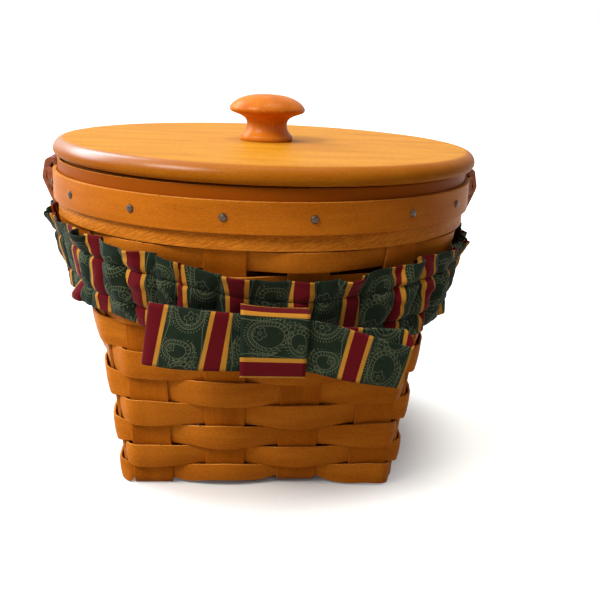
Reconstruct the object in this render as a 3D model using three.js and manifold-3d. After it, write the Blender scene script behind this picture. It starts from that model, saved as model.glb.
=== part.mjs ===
// A woven splint basket with a square foot and a round rim, a turned wooden lid
// and a gathered cloth garter with a bow. Millimetres, +Z up.
// Splints are thin strips of wood: stakes run up the wall, wefts go round it.
import * as THREE from 'three';
import { mergeVertices } from 'three/addons/utils/BufferGeometryUtils.js';
import Module from 'manifold-3d';

const wasm = await Module();
wasm.setup();

// Driving sizes of the woven wall; the outer stakes' middles keep a margin from the foot's sides
const stakesPerSide = 4;
const stakeCount = 4 * stakesPerSide;
const baseHalf = 70;
const baseCorner = 5;
const cornerMargin = 13.9;
const stakeWidth = 19.3;
const stakeThick = 1.4;
const wallHeight = 136.6;
const wallCurve = 1.15;
const baseArch = 2.05;
const baseArchReach = 100;
const footBend = 3.2;

const rowCount = 10;
const weftWidth = 11.6;
const weftThick = 1.15;
const weftBulge = 1.1;
const firstRowFoot = 0.5;
const firstRowPitch = 12.1;
const lastRowGap = 0.4;
const firstRowRaise = 2.4;
const seamGap = 0.6;

// Clearance between pieces that touch on the real basket
const touch = 0.3;
const weaveClear = 0.35;

// Rim: two bands clamp the stake ends, and a trim strip covers the outer one
const rimRadius = 114.3;
const outerBandWidth = 28.6;
const trimThick = 2.2;
const trimWidth = 14.9;
const trimTopDrop = 5.8;
const outerBandThick = 1.4;
const innerBandThick = 2.2;
const innerBandWidth = 27;
const stakeTopDrop = 2;
const rimSegments = 64;
// Degrees by which each stake stands off even spacing at the rim, as woven by hand
const rimDrift = [0.4, 0.9, -1.2, 2.7, 0.6, 0.2, -0.4, 0.5, -0.8, 0.6, -0.3, 0.7, -0.5, 0.3, -0.2, -0.5];

const tackHeadRadius = 1.85;
const tackHeadHeight = 1.1;
const tackShankRadius = 0.6;
const tackHoleRadius = 0.95;

// Lid
const lidOverhang = 0.7;
const lidThick = 8.7;
const lidEdgeRound = 5.6;
const lidLowerRound = 3;
const lidShift = 1.3;
const lidTilt = THREE.MathUtils.degToRad(0.35);
const locatorPlay = 5.5;
const locatorThick = 6;
const screwRadius = 2;
const screwHeadRadius = 4.2;
const screwHeadHeight = 2.6;
const screwBite = 13;
const screwTipLength = 2.4;
const screwEndGap = 0.6;
const knobHeight = 24.6;
const knobRadius = 20.9;
const knobNeckRadius = 10.8;
const knobFootRadius = 14.6;

// Leather ears: a strap round the trim strip on each side
const earWidth = 19;
const earThick = 2.2;
const earSkived = 0.7;
const earBulge = 4.2;
const earInnerReach = 1.2;
const earCrown = 2.2;

// Cloth garter
const garterDrop = 28;
const garterDip = 13.5;
const garterDipAngle = 6;
const garterDipLeft = 29;
const garterDipRight = 40;
const hangFollow = 0.6;
const casingHalf = 9;
const topRuffle = 9.5;
const bottomRuffle = 8;
const ruffleFolds = 32;
const clothThick = 1.5;
const topFlare = 1.9;
const bottomFlare = 1.7;
const casingPucker = 0.4;
const elasticWidth = 12;
const elasticThick = 1;
const bowPressSpread = 14;
const bowPressShare = 0.85;
const garterSteps = 6 * stakeCount;

// Bow on the front of the garter
const bowClothThick = 1.6;
const bowMiddle = 2.8;
const bowDepth = 10.5;
const knotWidth = 30.5;
const knotHeight = 35.3;
const knotDrop = 22.9;
const knotBevel = 1.1;
const leftLoop = { reach: 59, innerTall: 26.5, outerRise: 2.6, outerTall: 30, endBack: 8, lean: 5 };
const rightLoop = { reach: 61, innerTall: 23, outerRise: -7.4, outerTall: 20, endBack: 6, lean: 4 };

// Places worked out from the sizes above
const outerBandRadius = rimRadius - trimThick - touch;
const outerBandInner = outerBandRadius - outerBandThick;
const chordDip = stakeWidth ** 2 / (8 * outerBandInner);
const stakeCircle = outerBandInner - weaveClear - chordDip - stakeThick / 2;
const innerBandRadius = stakeCircle - stakeThick / 2 - weaveClear;
const innerBandInner = innerBandRadius - innerBandThick;
const rimTop = wallHeight + outerBandWidth;
const trimTop = rimTop - trimTopDrop;
const trimBottom = trimTop - trimWidth;
const tackHeight = trimTop - trimWidth / 2;
const lidRadius = rimRadius + lidOverhang;
const garterHeight = trimBottom - garterDrop;
const knotFoot = garterHeight - garterDip - knotDrop;
const stakeAngle = 2 * Math.PI / stakeCount;
const outerStake = baseHalf - cornerMargin;
const stakePitch = 2 * outerStake / (stakesPerSide - 1);
const cornerSpan = (Math.PI / 2) * baseCorner + 2 * (baseHalf - baseCorner - outerStake);
const weaveOffset = (stakeThick + weftThick) / 2 + weaveClear;
const weaveRise = weaveOffset + weftBulge;
const crossRise = (stakeThick + touch) / 2;
const baseLevel = stakeThick / 2 + crossRise;
const elasticOffset = weaveRise + weftThick / 2 + touch;
const clothOffset = elasticOffset + elasticThick + touch;

const wood = { color: 0xb8722c, roughness: 0.45, metalness: 0 };
const darkWood = { color: 0xa8611f, roughness: 0.5, metalness: 0 };
const leather = { color: 0x7a3418, roughness: 0.55, metalness: 0 };
const metal = { color: 0x6b645c, roughness: 0.45, metalness: 0.8 };
const greenCloth = { color: 0x24382a, roughness: 0.9, metalness: 0 };
const elasticWhite = { color: 0xd8d2c4, roughness: 0.8, metalness: 0 };

// Solids from rings of points

function solidFromFaces(points, faces) {
  const position = new Float32Array(points.flatMap((p) => [p.x, p.y, p.z]));
  const geometry = new THREE.BufferGeometry();
  geometry.setAttribute('position', new THREE.BufferAttribute(position, 3));
  let volume = 0;
  for (const [a, b, c] of faces) {
    volume += points[a].dot(points[b].clone().cross(points[c]));
  }
  const turned = volume < 0 ? faces.map(([a, b, c]) => [a, c, b]) : faces;
  geometry.setIndex(turned.flat());
  geometry.computeVertexNormals();
  return geometry;
}

// Joins rings with equal point counts; an open loft gets flat end caps.
function loft(rings, closed) {
  const count = rings[0].length;
  const faces = [];
  const last = closed ? rings.length : rings.length - 1;
  for (let i = 0; i < last; i++) {
    const near = i * count;
    const far = ((i + 1) % rings.length) * count;
    for (let j = 0; j < count; j++) {
      const k = (j + 1) % count;
      faces.push([near + j, near + k, far + k], [near + j, far + k, far + j]);
    }
  }
  if (!closed) {
    const end = (rings.length - 1) * count;
    for (let j = 1; j < count - 1; j++) {
      faces.push([0, j + 1, j], [end, end + j, end + j + 1]);
    }
  }
  return solidFromFaces(rings.flat(), faces);
}

function lathe(profile, segments) {
  const turned = new THREE.LatheGeometry(profile.map(([r, z]) => new THREE.Vector2(r, z)), segments);
  turned.rotateX(Math.PI / 2);
  turned.deleteAttribute('uv');
  turned.deleteAttribute('normal');
  const merged = mergeVertices(turned, 1e-4);
  const position = merged.getAttribute('position');
  const points = [];
  for (let i = 0; i < position.count; i++) points.push(new THREE.Vector3().fromBufferAttribute(position, i));
  const index = merged.getIndex().array;
  const faces = [];
  for (let i = 0; i < index.length; i += 3) {
    const face = [index[i], index[i + 1], index[i + 2]];
    if (new Set(face).size === 3) faces.push(face);
  }
  return solidFromFaces(points, faces);
}

function toSolid(geometry) {
  const bare = geometry.clone();
  bare.deleteAttribute('normal');
  const merged = mergeVertices(bare, 1e-5);
  return new wasm.Manifold(new wasm.Mesh({
    numProp: 3,
    vertProperties: new Float32Array(merged.getAttribute('position').array),
    triVerts: new Uint32Array(merged.getIndex().array),
  }));
}

function fromSolid(solid) {
  const mesh = solid.getMesh();
  const geometry = new THREE.BufferGeometry();
  geometry.setAttribute('position', new THREE.BufferAttribute(mesh.vertProperties, 3));
  geometry.setIndex([...mesh.triVerts]);
  geometry.computeVertexNormals();
  return geometry;
}

function addPiece(group, name, geometry, look) {
  const mesh = new THREE.Mesh(geometry, new THREE.MeshStandardMaterial(look));
  mesh.name = name;
  group.add(mesh);
  return mesh;
}

function arcPoints(r, z, radius, from, to, steps) {
  const points = [];
  for (let i = 0; i <= steps; i++) {
    const angle = THREE.MathUtils.degToRad(from + (to - from) * i / steps);
    points.push([r + radius * Math.cos(angle), z + radius * Math.sin(angle)]);
  }
  return points;
}

// The wall: at the foot a square with small round corners, at the rim a circle.
// Place u counts stakes anticlockwise from the front left one, so u 1.5 is the front middle.

function squareAt(u) {
  const side = Math.floor((u + 0.5) / stakesPerSide);
  const v = u - side * stakesPerSide;
  let along = (v - (stakesPerSide - 1) / 2) * stakePitch;
  if (v < 0) along = -outerStake + v * cornerSpan;
  if (v > stakesPerSide - 1) along = outerStake + (v - stakesPerSide + 1) * cornerSpan;
  const flat = baseHalf - baseCorner;
  const point = new THREE.Vector2(along, -baseHalf);
  const normal = new THREE.Vector2(0, -1);
  if (Math.abs(along) > flat) {
    const turn = (Math.abs(along) - flat) / baseCorner;
    const hand = Math.sign(along);
    normal.set(hand * Math.sin(turn), -Math.cos(turn));
    point.set(hand * flat, -flat).addScaledVector(normal, baseCorner);
  }
  const origin = new THREE.Vector2();
  point.rotateAround(origin, side * Math.PI / 2);
  normal.rotateAround(origin, side * Math.PI / 2);
  return { point, normal };
}

// The angle from the front middle, with the hand-woven drift blended between stakes
function frontAngle(u) {
  const stake = Math.floor(u);
  const near = rimDrift[(stake + stakeCount) % stakeCount];
  const far = rimDrift[(stake + 1 + stakeCount) % stakeCount];
  const drift = THREE.MathUtils.degToRad(THREE.MathUtils.lerp(near, far, u - stake));
  return (u - (stakesPerSide - 1) / 2) * stakeAngle + drift;
}

function roundness(z) {
  return Math.min(1, Math.max(0, z) / wallHeight) ** wallCurve;
}

// A point of the wall at height z, moved outward by offset, with its outward normal.
function wallAt(u, z, offset = 0) {
  const square = squareAt(u);
  const angle = frontAngle(u) - Math.PI / 2;
  const radial = new THREE.Vector2(Math.cos(angle), Math.sin(angle));
  const share = roundness(z);
  const normal = square.normal.clone().lerp(radial, share).normalize();
  const point = square.point.clone().lerp(radial.clone().multiplyScalar(stakeCircle), share);
  point.addScaledVector(normal, offset);
  return { point: new THREE.Vector3(point.x, point.y, z), normal };
}

// The middle of each side of the foot arches a little off the table.
function archLift(along) {
  const full = 1 - ((stakesPerSide - 1) ** 2) ** -1;
  return baseArch * Math.max(0, 1 - (along / outerStake) ** 2) / full;
}

function sidePlace(u) {
  const side = Math.floor((u + 0.5) / stakesPerSide);
  return (u - side * stakesPerSide - (stakesPerSide - 1) / 2) * stakePitch;
}

// Stakes: each one runs down one wall, across the foot and up the opposite wall

const wallShares = [0.06, 0.18, 0.31, 0.45, 0.61, 0.79, 1];
const stakeTop = rimTop - stakeTopDrop;
const stakeLevels = [...wallShares.map((share) => share * wallHeight), (wallHeight + stakeTop) / 2, stakeTop];

function wallStations(u, side) {
  return stakeLevels.map((z) => {
    const { point, normal } = wallAt(u, z);
    const across = new THREE.Vector3(-normal.y, normal.x, 0).multiplyScalar(side);
    return { point, across };
  });
}

function stakeRings(stations) {
  return stations.map(({ point, across }, i) => {
    const before = stations[Math.max(0, i - 1)].point;
    const after = stations[Math.min(stations.length - 1, i + 1)].point;
    const along = after.clone().sub(before).normalize();
    const outward = along.clone().cross(across).normalize();
    const corners = [[1, 1], [-1, 1], [-1, -1], [1, -1]];
    return corners.map(([a, n]) => point.clone()
      .addScaledVector(across, a * stakeWidth / 2)
      .addScaledVector(outward, n * stakeThick / 2));
  });
}

// lane is the stake's place on its side, from 0; turned stakes run along X.
function stakeStations(lane, turned) {
  const place = (lane - (stakesPerSide - 1) / 2) * stakePitch;
  const startU = turned ? stakeCount - 1 - lane : lane;
  const endU = turned ? stakesPerSide + lane : 3 * stakesPerSide - 1 - lane;
  const lengthwise = turned ? new THREE.Vector3(1, 0, 0) : new THREE.Vector3(0, 1, 0);
  const sideways = turned ? new THREE.Vector3(0, -1, 0) : new THREE.Vector3(1, 0, 0);
  const offset = turned ? new THREE.Vector3(0, place, 0) : new THREE.Vector3(place, 0, 0);
  const floorPoint = (along, z) => offset.clone().addScaledVector(lengthwise, along).setZ(z);

  const levels = [];
  for (let cross = 0; cross < stakesPerSide; cross++) {
    const crossPlace = (cross - (stakesPerSide - 1) / 2) * stakePitch;
    const under = (lane + cross) % 2 === (turned ? 1 : 0);
    const z = baseLevel + archLift(place) + archLift(crossPlace) + (under ? -crossRise : crossRise);
    levels.push({ crossPlace, z });
  }
  const bend = (z, u, hand) => {
    const wall = Math.abs(wallAt(u, z + footBend).point.dot(lengthwise));
    return [0, 30, 60].map((turn) => {
      const angle = THREE.MathUtils.degToRad(turn);
      const along = wall - footBend + footBend * Math.cos(angle);
      return floorPoint(hand * along, z + footBend - footBend * Math.sin(angle));
    });
  };
  const stations = [];
  const wallStart = wallStations(startU, 1).reverse();
  const wallEnd = wallStations(endU, -1);
  stations.push(...wallStart);
  for (const point of bend(levels[0].z, startU, -1)) stations.push({ point, across: sideways });
  const reach = stakeWidth / 2 + weaveClear;
  levels.forEach(({ crossPlace, z }) => {
    stations.push({ point: floorPoint(crossPlace - reach, z), across: sideways });
    stations.push({ point: floorPoint(crossPlace + reach, z), across: sideways });
  });
  for (const point of bend(levels[stakesPerSide - 1].z, endU, 1).reverse()) {
    stations.push({ point, across: sideways });
  }
  stations.push(...wallEnd);
  return stations;
}

// Six-sided hole or shank cutter pointing outward through the rim at a stake
function rimDrill(u, radius) {
  const length = 3 * (rimRadius - innerBandInner);
  const drill = new THREE.CylinderGeometry(radius, radius, length, 6);
  drill.rotateZ(Math.PI / 2);
  drill.translate(rimRadius, 0, tackHeight);
  drill.rotateZ(frontAngle(u) - Math.PI / 2);
  drill.deleteAttribute('uv');
  return toSolid(drill);
}

function makeStakes(group) {
  for (const turned of [false, true]) {
    for (let lane = 0; lane < stakesPerSide; lane++) {
      const strip = loft(stakeRings(stakeStations(lane, turned)), false);
      const ends = turned
        ? [stakeCount - 1 - lane, stakesPerSide + lane]
        : [lane, 3 * stakesPerSide - 1 - lane];
      let solid = toSolid(strip);
      for (const u of ends) solid = solid.subtract(rimDrill(u, tackHoleRadius));
      addPiece(group, `stake_${turned ? 'x' : 'y'}_${lane + 1}`, fromSolid(solid), darkWood);
    }
  }
}

// Wefts: row 1 is the lowest; neighbouring rows pass the same stake on opposite faces

const rowSpan = wallHeight - lastRowGap - firstRowFoot - weftWidth;
const pitchGrowth = (rowSpan - (rowCount - 1) * firstRowPitch) / ((rowCount - 1) * (rowCount - 2) / 2);

function rowHeight(row) {
  const steps = row - 1;
  return firstRowFoot + weftWidth / 2 + steps * firstRowPitch + pitchGrowth * steps * (steps - 1) / 2;
}

// Three stations hug each stake and one crosses the wall's middle between two stakes.
function weftStations(row) {
  const stations = [];
  const reach = stakeWidth / 2 + touch;
  for (let stake = 0; stake < stakeCount; stake++) {
    const outside = (stake + row) % 2 === 0 ? 1 : -1;
    stations.push({ u: stake, shift: 0, offset: outside * weaveRise, inside: outside < 0 });
    stations.push({ u: stake, shift: reach, offset: outside * weaveOffset, inside: outside < 0 });
    stations.push({ u: stake + 0.5, shift: 0, offset: 0, inside: false });
    const next = { u: stake + 1, shift: -reach, offset: -outside * weaveOffset, inside: outside > 0 };
    stations.push({ ...next, u: next.u % stakeCount });
  }
  return stations;
}

function weftRing({ u, shift, offset, inside }, row) {
  const z = rowHeight(row);
  const fade = Math.max(0, 1 - z / baseArchReach);
  const lift = archLift(sidePlace(u)) * fade;
  const raise = row === 1 && inside ? firstRowRaise : 0;
  const low = z - weftWidth / 2 + lift + raise;
  const high = z + weftWidth / 2 + lift;
  const at = (level, out) => {
    const { point, normal } = wallAt(u, level, offset + out);
    return point.add(new THREE.Vector3(-normal.y, normal.x, 0).multiplyScalar(shift));
  };
  const half = weftThick / 2;
  return [at(low, half), at(high, half), at(high, -half), at(low, -half)];
}

// Each splint starts and ends behind a stake at the back, with a small seam gap.
function makeWefts(group) {
  for (let row = 1; row <= rowCount; row++) {
    const seam = 2 * stakesPerSide + (row % 2 === 0 ? 1 : 0) + (row % 4 < 2 ? 0 : 2);
    const stations = weftStations(row);
    const start = stations.findIndex(({ u, shift }) => u === seam && shift === 0);
    const turned = [...stations.slice(start), ...stations.slice(0, start)];
    const first = { ...turned[0], shift: seamGap / 2 };
    const last = { ...turned[0], shift: -seamGap / 2 };
    const rings = [first, ...turned.slice(1), last].map((station) => weftRing(station, row));
    addPiece(group, `weft_row_${String(row).padStart(2, '0')}`, loft(rings, false), wood);
  }
}

// Rim bands and tacks

function hoop(outer, inner, low, high) {
  return lathe([[inner, low], [outer, low], [outer, high], [inner, high], [inner, low]], rimSegments);
}

function makeRim(group) {
  let outerBand = toSolid(hoop(outerBandRadius, outerBandInner, wallHeight, rimTop));
  let trim = toSolid(hoop(rimRadius, rimRadius - trimThick, trimBottom, trimTop));
  for (let u = 0; u < stakeCount; u++) {
    const drill = rimDrill(u, tackHoleRadius);
    outerBand = outerBand.subtract(drill);
    trim = trim.subtract(drill);
  }
  for (const hand of [-1, 1]) trim = trim.subtract(toSolid(earNotch(hand)));
  addPiece(group, 'rim_band_outer', fromSolid(outerBand), wood);
  const innerBand = hoop(innerBandRadius, innerBandInner, rimTop - innerBandWidth, rimTop);
  addPiece(group, 'rim_band_inner', innerBand, wood);
  addPiece(group, 'rim_trim_strip', fromSolid(trim), wood);
}

function makeTacks(group) {
  const tip = rimRadius - stakeCircle + stakeThick / 2;
  const seat = touch;
  for (let u = 0; u < stakeCount; u++) {
    const tack = lathe([
      [0, -tip], [tackShankRadius, -tip], [tackShankRadius, seat], [tackHeadRadius, seat],
      [tackHeadRadius * 0.86, seat + tackHeadHeight * 0.55], [0, seat + tackHeadHeight],
    ], 8);
    tack.rotateY(Math.PI / 2);
    tack.translate(rimRadius, 0, tackHeight);
    tack.rotateZ(frontAngle(u) - Math.PI / 2);
    addPiece(group, `tack_${String(u + 1).padStart(2, '0')}`, tack, metal);
  }
}

// Ears: a closed strap whose thin inner part lies in a notch behind the trim strip

const earHalfAngle = earWidth / 2 / rimRadius;
const earColumns = [-1, -0.33, 0.33, 1];
const notchDepth = earSkived + touch;
const notchOverrun = 1;

function earNotch(hand) {
  const inner = rimRadius - trimThick - touch;
  const outer = rimRadius - trimThick + notchDepth;
  const low = trimBottom - notchOverrun;
  const high = trimTop + notchOverrun;
  const rings = [];
  for (const share of earColumns) {
    const angle = share * (earHalfAngle + 2 * touch / rimRadius) + (hand > 0 ? 0 : Math.PI);
    const at = (r, z) => new THREE.Vector3(r * Math.cos(angle), r * Math.sin(angle), z);
    rings.push([at(inner, low), at(outer, low), at(outer, high), at(inner, high)]);
  }
  return loft(rings, false);
}

// Stations round the strap: radius and height of its middle, thickness and lean in degrees
function earPath() {
  const inside = outerBandRadius + touch + earSkived / 2;
  const outside = rimRadius + earThick / 2;
  const bend = outside + touch;
  return [
    { r: inside, z: trimBottom - earInnerReach, thick: earSkived, lean: 0 },
    { r: inside, z: trimTop + earInnerReach, thick: earSkived, lean: 0 },
    { r: bend, z: trimTop + earCrown, thick: earThick, lean: 60 },
    { r: outside + earBulge * 0.6, z: trimTop - trimWidth * 0.07, thick: earThick, lean: 20 },
    { r: outside + earBulge * 0.92, z: trimTop - trimWidth * 0.37, thick: earThick, lean: 8 },
    { r: outside + earBulge * 0.92, z: trimTop - trimWidth * 0.51, thick: earThick, lean: -14 },
    { r: outside + earBulge * 0.4, z: trimBottom + trimWidth * 0.08, thick: earThick, lean: -24 },
    { r: bend, z: trimBottom - earCrown, thick: earThick, lean: -60 },
  ];
}

function makeEar(hand) {
  const rings = earPath().map(({ r, z, thick, lean }, i) => {
    const way = i < 2 ? -1 : 1;
    const tilt = THREE.MathUtils.degToRad(lean);
    const place = (share, out) => {
      const angle = share * earHalfAngle + (hand > 0 ? 0 : Math.PI);
      const radius = r + way * out * (thick / 2) * Math.cos(tilt);
      return new THREE.Vector3(
        radius * Math.cos(angle), radius * Math.sin(angle), z + way * out * (thick / 2) * Math.sin(tilt));
    };
    return [...earColumns.map((s) => place(s, 1)), ...earColumns.toReversed().map((s) => place(s, -1))];
  });
  return loft(rings, true);
}

// Lid, locator, knob and the screw that joins them, modelled about the lid's own axis

function makeLid() {
  const lid = new THREE.Group();
  const underside = rimTop + touch + lidRadius * Math.sin(lidTilt);
  lid.position.set(lidShift, 0, underside);
  lid.rotation.y = lidTilt;
  const bore = screwRadius + touch;
  const board = [
    [bore, 0], ...arcPoints(lidRadius - lidLowerRound, lidLowerRound, lidLowerRound, -90, 0, 2),
    ...arcPoints(lidRadius - lidEdgeRound, lidThick - lidEdgeRound, lidEdgeRound, 0, 90, 3),
    [bore, lidThick], [bore, 0],
  ];
  addPiece(lid, 'lid_board', lathe(board, rimSegments), wood);

  const locatorRadius = innerBandInner - locatorPlay;
  const locatorTop = -touch;
  const locatorLow = locatorTop - locatorThick;
  const locator = [
    [bore, locatorLow], [locatorRadius - 1, locatorLow], [locatorRadius, locatorLow + 1],
    [locatorRadius, locatorTop], [bore, locatorTop], [bore, locatorLow],
  ];
  addPiece(lid, 'lid_locator', lathe(locator, rimSegments), darkWood);

  const knobFoot = lidThick + touch;
  const up = (share) => knobFoot + knobHeight * share;
  const boreTop = lidThick + screwBite + touch;
  const knob = [
    [0, boreTop], [bore, boreTop - bore / 2], [bore, knobFoot],
    [knobFootRadius, knobFoot], [knobFootRadius, up(0.09)], [knobFootRadius - 2.4, up(0.17)],
    [knobNeckRadius, up(0.29)], [knobNeckRadius, up(0.36)], [knobNeckRadius + 3.2, up(0.46)],
    [knobRadius - 2.6, up(0.52)], [knobRadius, up(0.64)], [knobRadius - 1.4, up(0.78)],
    [knobRadius * 0.72, up(0.91)], [knobRadius * 0.4, up(0.98)], [0, up(1)],
  ];
  addPiece(lid, 'lid_knob', lathe(knob, 32), wood);

  const headTop = locatorLow - touch;
  const screwTip = boreTop - touch - screwEndGap;
  const screw = [
    [0, headTop - screwHeadHeight], [screwHeadRadius * 0.7, headTop - screwHeadHeight],
    [screwHeadRadius, headTop - screwHeadHeight * 0.5], [screwHeadRadius, headTop],
    [screwRadius, headTop], [screwRadius, screwTip - screwTipLength], [0, screwTip],
  ];
  addPiece(lid, 'knob_screw', lathe(screw, 16), metal);
  return lid;
}

// Garter: gathered on an elastic, it hugs the wall and dips under the bow's weight

function degreesFromFront(u) {
  const away = THREE.MathUtils.radToDeg(frontAngle(u));
  return away > 180 ? away - 360 : away;
}

// The dip is deepest a little right of the front, and fades more slowly to the right.
function garterMiddle(u) {
  const away = degreesFromFront(u) - garterDipAngle;
  const spread = away < 0 ? garterDipLeft : garterDipRight;
  return garterHeight - garterDip * Math.exp(-((away / spread) ** 2));
}

// The bow presses the ruffle flat behind it.
function pressed(u) {
  return 1 - bowPressShare * Math.exp(-((degreesFromFront(u) / bowPressSpread) ** 2));
}

// A garter point: it follows the leaning wall, but hangs more steeply below its casing.
function garterAt(u, up, offset) {
  const middle = garterMiddle(u);
  const hanging = Math.min(0, up + casingHalf);
  const level = middle + up - hanging * (1 - hangFollow);
  return wallAt(u, level, offset).point.setZ(middle + up);
}

function makeElastic() {
  const half = elasticWidth / 2;
  const outer = elasticOffset + elasticThick;
  const rings = [];
  for (let i = 0; i < garterSteps; i++) {
    const u = i * stakeCount / garterSteps;
    rings.push([
      garterAt(u, -half, outer), garterAt(u, half, outer),
      garterAt(u, half, elasticOffset), garterAt(u, -half, elasticOffset),
    ]);
  }
  return loft(rings, true);
}

function makeRuffle() {
  const rings = [];
  for (let i = 0; i < garterSteps; i++) {
    const u = i * stakeCount / garterSteps;
    const fold = 2 * Math.PI * ruffleFolds * i / garterSteps;
    const swell = (1 + Math.sin(fold + 0.9 * Math.sin(fold / 5))) * pressed(u);
    const levels = [
      [-casingHalf - bottomRuffle, bottomFlare * swell],
      [-casingHalf, casingPucker * swell],
      [0, 2 * casingPucker * swell],
      [casingHalf, casingPucker * swell],
      [casingHalf + topRuffle, topFlare * swell],
    ];
    rings.push([
      ...levels.map(([up, out]) => garterAt(u, up, clothOffset + out + clothThick)),
      ...levels.toReversed().map(([up, out]) => garterAt(u, up, clothOffset + out)),
    ]);
  }
  return loft(rings, true);
}

// Bow: two flattened loops held by a band, in front of the ruffle
// Each loop is a plan outline at both ends of its width, so it can droop and lean.

// From the knot out along the front layer, round the fold and back along the rear layer
function loopRing(points, share) {
  const half = bowClothThick / 2;
  const outer = [];
  const inner = [];
  points.forEach((p, i) => {
    const before = points[Math.max(0, i - 1)];
    const after = points[Math.min(points.length - 1, i + 1)];
    const normal = new THREE.Vector2(after.y - before.y, before.x - after.x).normalize();
    const z = THREE.MathUtils.lerp(p.low, p.high, share);
    const x = p.x + p.lean * share;
    outer.push(new THREE.Vector3(x + normal.x * half, p.y + normal.y * half, z));
    inner.push(new THREE.Vector3(x - normal.x * half, p.y - normal.y * half, z));
  });
  return [...outer, ...inner.reverse()];
}

function strip(points) {
  const lower = loopRing(points, 0);
  const upper = loopRing(points, 1);
  const count = points.length;
  const faces = [];
  const total = 2 * count;
  for (let j = 0; j < total; j++) {
    const k = (j + 1) % total;
    faces.push([j, k, total + k], [j, total + k, total + j]);
  }
  for (let i = 0; i < count - 1; i++) {
    const far = total - 1 - i;
    faces.push([i, far, far - 1], [i, far - 1, i + 1]);
    faces.push([total + i, total + far - 1, total + far], [total + i, total + i + 1, total + far - 1]);
  }
  return solidFromFaces([...lower, ...upper], faces);
}

// shape gives the loop's reach, its height at the knot, and at the fold its height, its foot's
// rise above the knot's foot and how far its top leans to the right.
function loopPoints(hand, shape, knot) {
  const held = (knotWidth / 2 + touch) / shape.reach;
  const end = knot.front - shape.endBack;
  const at = (share, forward) => {
    const free = Math.max(0, (share - held) / (1 - held));
    const low = THREE.MathUtils.lerp(knot.foot, knotFoot + shape.outerRise, free);
    const tall = THREE.MathUtils.lerp(shape.innerTall, shape.outerTall, free);
    const x = bowMiddle + hand * THREE.MathUtils.lerp(touch, shape.reach, share);
    return { x, y: -forward(free), low, high: low + tall, lean: shape.lean * free };
  };
  const front = (free) => THREE.MathUtils.lerp(knot.front, end, free ** 2);
  const rear = (free) => THREE.MathUtils.lerp(knot.rear, end - bowClothThick, free ** 2);
  const shares = [0, held, 0.5, 0.78, 0.95, 1];
  return [
    ...shares.map((share) => at(share, front)),
    ...shares.toReversed().map((share) => at(share, rear)),
  ];
}

// The knot's back lies on the pressed ruffle at the height of the knot's top edge.
const frontMiddle = (stakesPerSide - 1) / 2;
const pressedOut = clothOffset + clothThick + 2 * topFlare * pressed(frontMiddle) + touch;
const knotBack = -wallAt(frontMiddle, knotFoot + knotHeight, pressedOut).point.y;
const knotFront = knotBack + bowDepth;

function makeKnot() {
  const top = knotFoot + knotHeight;
  const outline = new THREE.Shape();
  outline.moveTo(knotBack, knotFoot);
  outline.lineTo(knotFront - knotBevel, knotFoot);
  outline.lineTo(knotFront, knotFoot + knotBevel);
  outline.lineTo(knotFront, top - knotBevel);
  outline.lineTo(knotFront - knotBevel, top);
  outline.lineTo(knotBack, top);
  const hole = new THREE.Path();
  hole.moveTo(knotBack + bowClothThick, knotFoot + bowClothThick);
  hole.lineTo(knotBack + bowClothThick, top - bowClothThick);
  hole.lineTo(knotFront - bowClothThick, top - bowClothThick);
  hole.lineTo(knotFront - bowClothThick, knotFoot + bowClothThick);
  outline.holes.push(hole);
  const band = new THREE.ExtrudeGeometry(outline, { depth: knotWidth, bevelEnabled: false });
  band.deleteAttribute('uv');
  // The outline lies in forward distance and height, and is pushed along X.
  const turn = new THREE.Matrix4().set(0, 0, -1, 0, -1, 0, 0, 0, 0, 1, 0, 0, 0, 0, 0, 1);
  band.applyMatrix4(turn);
  band.translate(bowMiddle + knotWidth / 2, 0, 0);
  return fromSolid(toSolid(band));
}

function makeGarter() {
  const garter = new THREE.Group();
  addPiece(garter, 'garter_elastic', makeElastic(), elasticWhite);
  addPiece(garter, 'garter_ruffle', makeRuffle(), greenCloth);
  const inset = bowClothThick * 1.5 + touch;
  const knot = { front: knotFront - inset, rear: knotBack + inset, foot: knotFoot + bowClothThick + touch };
  addPiece(garter, 'bow_loop_left', strip(loopPoints(-1, leftLoop, knot)), greenCloth);
  addPiece(garter, 'bow_loop_right', strip(loopPoints(1, rightLoop, knot)), greenCloth);
  addPiece(garter, 'bow_knot', makeKnot(), greenCloth);
  return garter;
}

const basket = new THREE.Group();
makeStakes(basket);
makeWefts(basket);
makeRim(basket);
makeTacks(basket);
addPiece(basket, 'leather_ear_left', makeEar(-1), leather);
addPiece(basket, 'leather_ear_right', makeEar(1), leather);
basket.add(makeLid());
basket.add(makeGarter());

export default basket;
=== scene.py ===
# %% [markdown]
# # A woven basket with a turned lid and a cloth garter
# The basket is woven from thin strips of wood, called splints. Wide ones, the stakes, run up
# the wall. Narrower ones, the wefts, go round it. The foot is square and the rim is round.
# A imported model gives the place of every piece, and this lesson builds the looks around it.

# %% The frame
import math

import bmesh
import bpy
import numpy as np
from mathutils import Matrix, Quaternion, Vector, noise


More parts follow.
